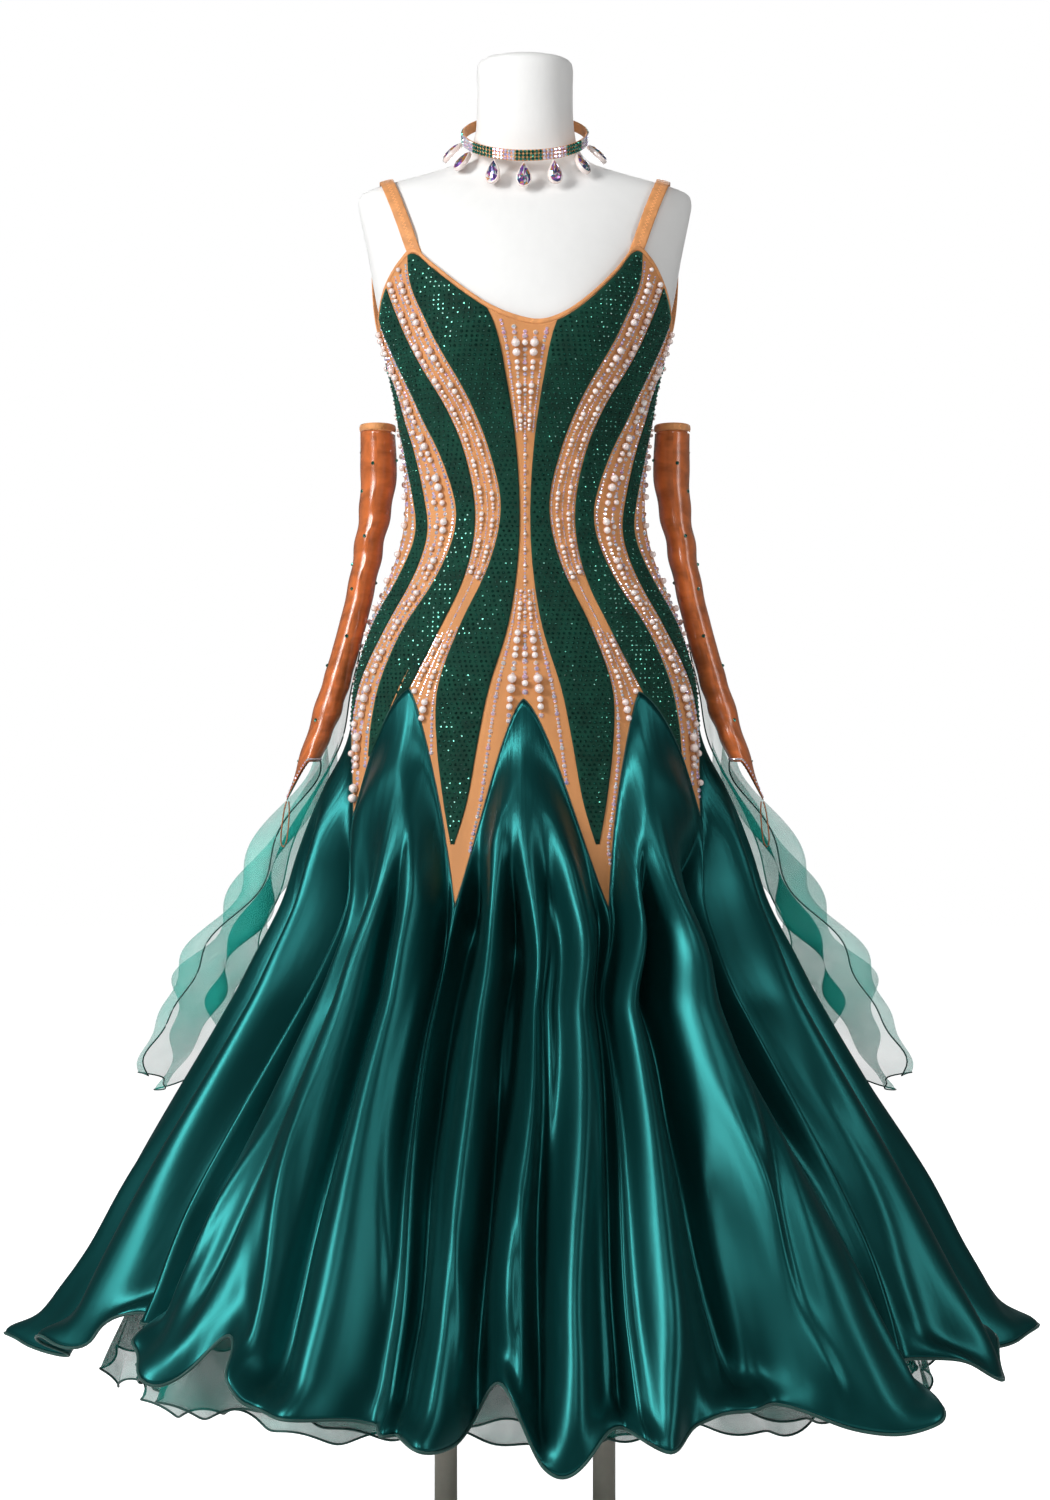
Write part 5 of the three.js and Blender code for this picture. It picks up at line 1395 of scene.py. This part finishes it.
def mitt_surface(side, z, around, out):
    """The mitt's oval with soft wrinkles across the elbow and wrist, drawn to a point at the wrist."""
    bottom = MITT["z"][-1]
    v = (MITT["z"][0] - z) / (MITT["z"][0] - bottom)
    point = np.maximum(0, np.sin(around * 2 * np.pi)) ** MITT_POINT["power"]
    low = ease((v - MITT_POINT["start"]) / (1 - MITT_POINT["start"])) * point
    wrinkle = 0
    for level, reach, high, length, slant in MITT_WRINKLES:
        wrinkle = wrinkle + high * bell((z - level) / reach) * np.sin(z / length + slant * around)
    points = mitt_point(side, z, around, out + wrinkle)
    points[..., 0] += side * MITT_POINT["out"] * low
    points[..., 2] -= MITT_POINT["drop"] * low
    return points


def build_mitts():
    for name, side in (("left", -1), ("right", 1)):
        around = np.linspace(0, 1, 64, endpoint=False)[None]
        around = 1 - around if side < 0 else around
        z = np.linspace(MITT["z"][0], MITT["z"][-1], 120)[:, None]
        points = mitt_surface(side, z, around, MITT_OUT)
        piece = put_sheet(f"mitt_sleeve_{name}", points, wrap=True, wall=0.8)
        finish(piece, "mitt_mesh", [f"mitt_{name}"])
        a = np.linspace(0, 2 * np.pi, 12)
        level = MITT["z"][0] + SEAM_GAP + CUFF["height"] * (0.5 + 0.5 * np.cos(a))[:, None]
        out = lerp(CUFF["inner"], CUFF["outer"], 0.5 + 0.5 * np.sin(a))[:, None]
        ring = mitt_point(side, np.full_like(level, MITT["z"][0]), around, out)
        ring[..., 2] = level
        band = put_mesh(
            f"mitt_band_{name}", ring.reshape(-1, 3), grid_faces(12, MITT_AROUND, True),
            uv=grid_uv(ring, True))
        finish(band, "nude_elastic", [f"mitt_{name}_top_band"])
        spots = mitt_surface(side, MITT_STONES["z"], MITT_STONES["around"], MITT_OUT)
        outward = unit(
            spots - np.stack(
                (side * mitt_x(MITT_STONES["z"]), mitt_y(MITT_STONES["z"]), MITT_STONES["z"]), -1))
        dots = scatter(
            f"mitt_stones_{name}", stone_shape(8, TABLE_SHARE, 0.4), spots, outward,
            np.full(len(spots), 4.4), bright_green)
        finish(dots, "velvet_stone")
        rim = mitt_surface(
            side, np.full(MITT_AROUND, MITT["z"][-1] + 3), np.linspace(0, 1, MITT_AROUND, endpoint=False),
            MITT_OUT)
        outward = unit(rim - np.array([side * mitt_x(MITT["z"][-1]), mitt_y(MITT["z"][-1]), MITT["z"][-1]]))
        beads = scatter(
            f"mitt_rim_beads_{name}", stone_shape(8, TABLE_SHARE, 0.4), rim, outward,
            np.full(MITT_AROUND, 2.6), iridescent)
        finish(beads, "crystal")


def loop_path(side):
    """The finger loop's route: down one side, round the foot and up the other, leaning outwards."""
    bottom = MITT["z"][-1]
    x = float(mitt_x(bottom) + mitt_across(bottom)) + MITT_POINT["out"]
    z = bottom - MITT_POINT["drop"] - LOOP["below"]
    along = LOOP_ROUTE["drop"]
    points = np.stack(
        (side * (x - LOOP["lean"] * along + LOOP_ROUTE["side"]), np.full(len(along), float(mitt_y(bottom))), z + along), -1)
    return path_through(points, 60)


def build_finger_loops():
    for name, side in (("left", -1), ("right", 1)):
        path = loop_path(side)
        verts, faces = tube(path, LOOP["thick"] / 2, sides=10)
        loop = put_mesh(f"finger_loop_{name}", verts, faces)
        finish(loop, "elastic_cord", [f"mitt_{name}_finger_loop"])


# ---- pieces: floats ----
float_near = curve(FLOAT, "z", "near")
float_far = curve(FLOAT, "z", "far")
float_start = curve(FLOAT, "z", "start")
float_end = curve(FLOAT, "z", "end")


def float_point(i, across):
    """A float: a narrow waved strip behind the mitt that spreads over the side of the skirt below."""
    hem = FLOAT_HEM["high"] * np.sin(across * FLOAT_HEM["waves"] + FLOAT_HEM["start"])
    z = lerp(FLOAT_TOP, FLOAT["z"][-1], i) + hem * i
    turn = 2 * np.pi * FLOAT_WAVES * across + FLOAT_TWIST * i
    wave = 0.5 - 0.5 * np.cos(turn)
    drift = 0
    for high, length, aslant, slow, slow_length, slow_start in FLOAT_RUFFLES:
        drift = drift + high * np.sin(
            z / length + aslant * across + slow * np.sin(z / slow_length + slow_start))
    flutter = FLOAT_FLUTTER["high"] * np.sin(turn * FLOAT_FLUTTER["waves"] + FLOAT_FLUTTER["turn"] * i)
    fine = flutter * i + below(z, FLOAT_JOIN["z"], FLOAT_JOIN["spread"]) * drift
    right = mitt_x(z) + mitt_across(z) - FLOAT_BEHIND["outer"]
    full = right - mitt_x(z) + mitt_across(z) + FLOAT_BEHIND["inner"]
    share = FLOAT_STRIP["top"] + (1 - FLOAT_STRIP["top"]) * below(z, FLOAT_TOP, FLOAT_STRIP["over"])
    left = right - full * (share + FLOAT_STRIP["uneven"] * np.sin(z / FLOAT_STRIP["length"]))
    behind = mitt_y(z) + mitt_deep(z) + FLOAT_BEHIND["gap"] + FLOAT_BEHIND["wave"] * wave
    angle = lerp(float_start(z), float_end(z), across)
    lift = fullness(z) * FLOAT_CLEAR + lerp(float_near(z), float_far(z), wave) + fine
    x, y = ring_point(body_width(z), body_front(z), body_back(z), angle, lift)
    low = below(z, FLOAT_JOIN["z"], FLOAT_JOIN["length"])
    return np.stack((lerp(lerp(right, left, across), x, low), lerp(behind, y, low), z), -1)


def build_floats(edge_cord):
    for name, side in (("left", -1), ("right", 1)):
        i = np.linspace(0, 1, FLOAT_GRID["down"])[:, None]
        across = np.linspace(0, 1, FLOAT_GRID["across"])[None]
        across = 1 - across if side < 0 else across
        points = float_point(i, across) * np.array([side, 1, 1])
        piece = put_sheet(f"float_{name}", points, wall=0.3)
        finish(piece, "organza_float", [f"organza_float_{name}"])
        path = np.concatenate((points[:-1, 0], points[-1], points[-2::-1, -1]))
        verts, faces = tube(path, edge_cord * 0.28, sides=6)
        finish(put_mesh(f"float_{name}_cord", verts, faces), "edge_cord")


# ---- pieces: neckband ----
def neckband_point(angle, out, rise):
    """A point of the oval band, which leans down towards the front; rise is the height on the band."""
    a = np.radians(angle)
    x = (NECKBAND["across"] + out) * np.sin(a)
    y = NECKBAND["y"] - (NECKBAND["deep"] + out) * np.cos(a)
    return np.stack(np.broadcast_arrays(x, y, NECKBAND["z"] + NECKBAND["rise"] * y + rise), -1)


def build_neckband():
    angle = np.linspace(0, 360, 160, endpoint=False)
    rise = np.linspace(0.5, -0.5, 7)[:, None] * NECKBAND["height"]
    points = neckband_point(angle[None], NECKBAND["wall"], rise)
    band = put_sheet("neckband_tape", points, wrap=True, wall=1.4)
    finish(band, "nude_elastic", ["neckband"])
    spots = np.linspace(0, 360, 100, endpoint=False)
    block = (np.floor((spots + 200) % 360 / 24) % 2) > 0
    outward = np.stack((np.sin(np.radians(spots)), -np.cos(np.radians(spots)), 0 * spots), -1)
    for label, chosen, tones, material in (
        ("green", ~block, bright_green, "velvet_stone"), ("clear", block, iridescent, "crystal")):
        centres = np.concatenate(
            [neckband_point(spots[chosen], NECKBAND["wall"], r) for r in (3.9, 0, -3.9)])
        normals = np.tile(outward[chosen], (3, 1))
        stones = scatter(
            f"neckband_stones_{label}", stone_shape(8, TABLE_SHARE, 0.36), centres, normals,
            np.full(len(centres), 4.1), tones)
        finish(stones, material)
    for k in range(len(DROPS["angle"])):
        build_drop(k)


def pear(scale, depth, count=24):
    """A pear outline: across is sin(a) sin(a/2), down is (1 - cos a)/2, a round from the point."""
    a = np.linspace(0, 2 * np.pi, count, endpoint=False)
    wide = DROP["half"] * 1.28 * np.sin(a) * np.abs(np.sin(a / 2))
    down = -DROP["long"] * (1 - np.cos(a)) / 2
    middle = -DROP["long"] * 0.6
    return np.stack((wide * scale, np.full(count, -depth), middle + (down - middle) * scale), -1)


def place_drop(points, k):
    """Swings a drop out from the neck and turns it to its angle on the band."""
    s = math.radians(DROPS["swing"][k])
    a = math.radians(DROPS["angle"][k])
    x = points[:, 0]
    y = points[:, 1] * math.cos(s) + points[:, 2] * math.sin(s)
    z = -points[:, 1] * math.sin(s) + points[:, 2] * math.cos(s)
    base = neckband_point(DROPS["angle"][k], NECKBAND["wall"] + 1, -NECKBAND["height"] / 2 - DROP["gap"])
    return np.stack((x * math.cos(a) - y * math.sin(a), x * math.sin(a) + y * math.cos(a), z), -1) + base


def build_drop(k):
    """A bezel of rings from back to rim, and a cut stone of three rings set in it."""
    half = DROP["thick"] / 2
    bezel_rings = np.stack([pear(s, d) for s, d in (
        (0.82, half), (0.9, half * 1.1), (0.98, half * 0.8), (1.0, 0), (0.96, -half * 0.8), (0.9, -half))])
    verts, faces = closed_rings(bezel_rings, (0, -half, -DROP["long"] * 0.6), (0, half, -DROP["long"] * 0.6))
    bezel = put_mesh(f"neck_drop_bezel_{k + 1}", place_drop(verts, k), faces[:, ::-1])
    finish(bezel, "pearl", [f"neckband_drop_{k + 1}"])
    stone_rings = np.stack(
        [pear(s, d, 12) for s, d in ((0.4, half + 2.9), (0.62, half + 2.3), (0.88, half + 0.2))])
    verts, faces = closed_rings(
        stone_rings, (0, -half - 3.0, -DROP["long"] * 0.6), (0, -half + 0.4, -DROP["long"] * 0.6))
    stone = put_mesh(f"neck_drop_stone_{k + 1}", place_drop(verts, k), faces[:, ::-1], smooth=False)
    chance = np.random.default_rng(SEED + k)
    colours = DROP_TONES[chance.integers(0, len(DROP_TONES), len(faces))]
    colours = np.concatenate((colours, np.ones((len(colours), 1))), axis=1)
    layer = stone.data.attributes.new("tone", "FLOAT_COLOR", "CORNER")
    layer.data.foreach_set("color", np.repeat(colours, 3, axis=0).astype(np.float32).ravel())
    finish(stone, "crystal")


# ---- the stage ----
def add_light(name, place, target, size, power, colour=(1, 1, 1)):
    data = bpy.data.lights.new(name, "AREA")
    data.shape = "RECTANGLE"
    data.size = size[0]
    data.size_y = size[1]
    data.energy = power
    data.color = colour
    light = bpy.data.objects.new(name, data)
    light.location = place
    light.rotation_euler = (Vector(target) - Vector(place)).to_track_quat("-Z", "Y").to_euler()
    bpy.context.scene.collection.objects.link(light)


def build_world():
    """White where the camera looks past the dress, a dim soft grey for light and reflections."""
    world = bpy.data.worlds.new("studio")
    world.use_nodes = True
    t = Tree(world.node_tree)
    background = world.node_tree.nodes["Background"]
    path = t.add("ShaderNodeLightPath")
    direction = t.add("ShaderNodeTexCoord").outputs["Generated"]
    parts = t.add("ShaderNodeSeparateXYZ", {0: direction})
    glow = t.between(parts.outputs[2], 0.035, 0.12, -0.6, 0.9)
    strength = t.add(
        "ShaderNodeMix", {"Factor": path.outputs["Is Camera Ray"], "A": glow, "B": 1.0}, data_type="FLOAT")
    t.tree.links.new(strength.outputs["Result"], background.inputs["Strength"])
    background.inputs["Color"].default_value = (1, 1, 1, 1)
    bpy.context.scene.world = world


def build_floor():
    """A plain pale floor that looks white without lighting the dress from below."""
    points = np.array([(-9000, -5000, 0), (9000, -5000, 0), (9000, 14000, 0), (-9000, 14000, 0)], float)
    floor = put_mesh("floor", points, np.array([[0, 1, 2, 3]]))
    material, t, shader = new_material("floor", {"Roughness": 0.9, "Specular IOR Level": 0.1})
    noise = t.noise(object_vector(t), 3.0, 2.0)
    tone = t.ramp(noise, ((0.3, (0.8, 0.8, 0.8)), (0.7, (0.82, 0.82, 0.82))))
    wire(t, shader, tone)
    seen = t.add("ShaderNodeLightPath").outputs["Is Camera Ray"]
    shader.inputs["Emission Color"].default_value = (1, 1, 1, 1)
    t.tree.links.new(t.math("MULTIPLY", seen, 0.97), shader.inputs["Emission Strength"])
    floor.data.materials.append(material)


def build_stage(lens, distance, height):
    data = bpy.data.cameras.new("camera")
    data.lens = lens
    data.sensor_width = 36
    camera = bpy.data.objects.new("camera", data)
    camera.location = (0, -distance, height)
    camera.rotation_euler = (math.radians(90), 0, 0)
    bpy.context.scene.collection.objects.link(camera)
    bpy.context.scene.camera = camera
    bpy.context.scene.view_settings.view_transform = "Standard"
    add_light("key", (-2.5, -2.1, 2.5), (0, 0, 0.75), (0.9, 2.0), 120)
    add_light("fill", (2.9, -1.5, 1.9), (0, 0, 0.8), (0.7, 2.0), 25)
    add_light("front", (0.0, -3.4, 3.2), (0, 0, 1.2), (1.6, 0.8), 30)
    add_light("back", (0.5, 3.0, 2.4), (0, 0, 0.8), (2.0, 1.4), 42)
    build_world()
    build_floor()


# ---- add-on ----
class DressSettings(bpy.types.PropertyGroup):
    """Colours and sizes of the dress."""

    satin_colour: bpy.props.FloatVectorProperty(
        name="Satin", description="Dye of the satin skirt", subtype="COLOR", size=3,
        default=(0.0065, 0.080, 0.079))
    velvet_colour: bpy.props.FloatVectorProperty(
        name="Velvet", description="Dye of the velvet panels", subtype="COLOR", size=3,
        default=(0.004, 0.04, 0.025))
    mesh_colour: bpy.props.FloatVectorProperty(
        name="Nude mesh", description="Colour of the bodice's mesh", subtype="COLOR", size=3,
        default=(0.68, 0.29, 0.10))
    mitt_colour: bpy.props.FloatVectorProperty(
        name="Mitts", description="Colour of the mitts", subtype="COLOR", size=3,
        default=(0.54, 0.135, 0.032))
    organza_colour: bpy.props.FloatVectorProperty(
        name="Organza", description="Dye of the organza", subtype="COLOR", size=3,
        default=(0.025, 0.50, 0.41))
    float_cover: bpy.props.FloatProperty(
        name="Float cover", description="How much of the ground the floats hide", default=0.22, min=0, max=1)
    layer_cover: bpy.props.FloatProperty(
        name="Underskirt cover", description="How much of the ground an underskirt hides", default=0.5,
        min=0, max=1)
    form_colour: bpy.props.FloatVectorProperty(
        name="Form", description="Colour of the form's jersey", subtype="COLOR", size=3,
        default=(0.82, 0.82, 0.81))
    crease_depth: bpy.props.FloatProperty(
        name="Crease depth", description="Depth of the small creases against their table", default=1.6,
        min=0, max=3)
    stone_pitch: bpy.props.FloatProperty(
        name="Stone pitch", description="Distance between stones on the velvet", unit="LENGTH",
        default=0.0058)
    edge_cord: bpy.props.FloatProperty(
        name="Edge cord", description="Thickness of the cord in the satin hem", unit="LENGTH",
        default=0.0032)
    lens: bpy.props.FloatProperty(
        name="Lens", description="Focal length of the camera in millimetres", default=87.3)
    camera_distance: bpy.props.FloatProperty(
        name="Camera distance", description="From the camera to the middle of the dress", unit="LENGTH",
        default=4.0)
    camera_height: bpy.props.FloatProperty(
        name="Camera height", description="Height of the camera above the floor", unit="LENGTH",
        default=0.875)


class DRESS_OT_stage(bpy.types.Operator):
    """Make the camera, lights, world and floor"""

    bl_idname = "ballroom_dress.stage"
    bl_label = "Stage"

    def execute(self, context):
        s = context.scene.ballroom_dress
        build_stage(s.lens, s.camera_distance, s.camera_height)
        return {"FINISHED"}


class DRESS_OT_finger_loops(bpy.types.Operator):
    """Make the elastic finger loops of both mitts"""

    bl_idname = "ballroom_dress.finger_loops"
    bl_label = "Finger loops"

    def execute(self, context):
        build_finger_loops()
        return {"FINISHED"}


class DRESS_OT_form(bpy.types.Operator):
    """Make the dress form and its stand"""

    bl_idname = "ballroom_dress.form"
    bl_label = "Form and stand"

    def execute(self, context):
        build_form()
        build_stand()
        return {"FINISHED"}


class DRESS_OT_bodice(bpy.types.Operator):
    """Make the mesh bodice, its binding and its straps"""

    bl_idname = "ballroom_dress.bodice"
    bl_label = "Bodice"

    def execute(self, context):
        build_bodice()
        build_binding()
        build_straps()
        return {"FINISHED"}


class DRESS_OT_velvet(bpy.types.Operator):
    """Make the velvet panels and the stones on them"""

    bl_idname = "ballroom_dress.velvet"
    bl_label = "Velvet panels"

    def execute(self, context):
        build_velvet()
        build_velvet_stones(context.scene.ballroom_dress.stone_pitch / MM)
        return {"FINISHED"}


class DRESS_OT_beads(bpy.types.Operator):
    """Make the rows of pearls and crystals on the nude mesh"""

    bl_idname = "ballroom_dress.beads"
    bl_label = "Bead rows"

    def execute(self, context):
        build_beads()
        return {"FINISHED"}


class DRESS_OT_skirt(bpy.types.Operator):
    """Make the satin godets and the organza layers under them"""

    bl_idname = "ballroom_dress.skirt"
    bl_label = "Skirt"

    def execute(self, context):
        s = context.scene.ballroom_dress
        build_skirt(s.crease_depth, s.edge_cord / MM)
        build_underskirts(s.edge_cord / MM, s.crease_depth)
        return {"FINISHED"}


class DRESS_OT_mitts(bpy.types.Operator):
    """Make the mitts and the organza floats behind them"""

    bl_idname = "ballroom_dress.mitts"
    bl_label = "Mitts and floats"

    def execute(self, context):
        build_mitts()
        build_floats(context.scene.ballroom_dress.edge_cord / MM)
        return {"FINISHED"}


class DRESS_OT_neckband(bpy.types.Operator):
    """Make the neckband, its stones and its drops"""

    bl_idname = "ballroom_dress.neckband"
    bl_label = "Neckband"

    def execute(self, context):
        build_neckband()
        return {"FINISHED"}


OPERATORS = (
    DRESS_OT_stage, DRESS_OT_finger_loops, DRESS_OT_form, DRESS_OT_bodice, DRESS_OT_velvet,
    DRESS_OT_beads, DRESS_OT_skirt, DRESS_OT_mitts, DRESS_OT_neckband,
)


class DRESS_PT_panel(bpy.types.Panel):
    """Lists the dress's pieces"""

    bl_idname = "DRESS_PT_panel"
    bl_label = "Ballroom dress"
    bl_space_type = "VIEW_3D"
    bl_region_type = "UI"
    bl_category = "Ballroom dress"

    def draw(self, context):
        for operator in OPERATORS:
            self.layout.operator(operator.bl_idname)
        for name in DressSettings.__annotations__:
            self.layout.prop(context.scene.ballroom_dress, name)


CLASSES = (DressSettings, *OPERATORS, DRESS_PT_panel)


def register():
    for item in CLASSES:
        bpy.utils.register_class(item)
    bpy.types.Scene.ballroom_dress = bpy.props.PointerProperty(type=DressSettings)


def unregister():
    del bpy.types.Scene.ballroom_dress
    for item in reversed(CLASSES):
        bpy.utils.unregister_class(item)


def main():
    register()
    for operator in OPERATORS:
        group, name = operator.bl_idname.split(".")
        getattr(getattr(bpy.ops, group), name)()


if __name__ == "__main__":
    main()
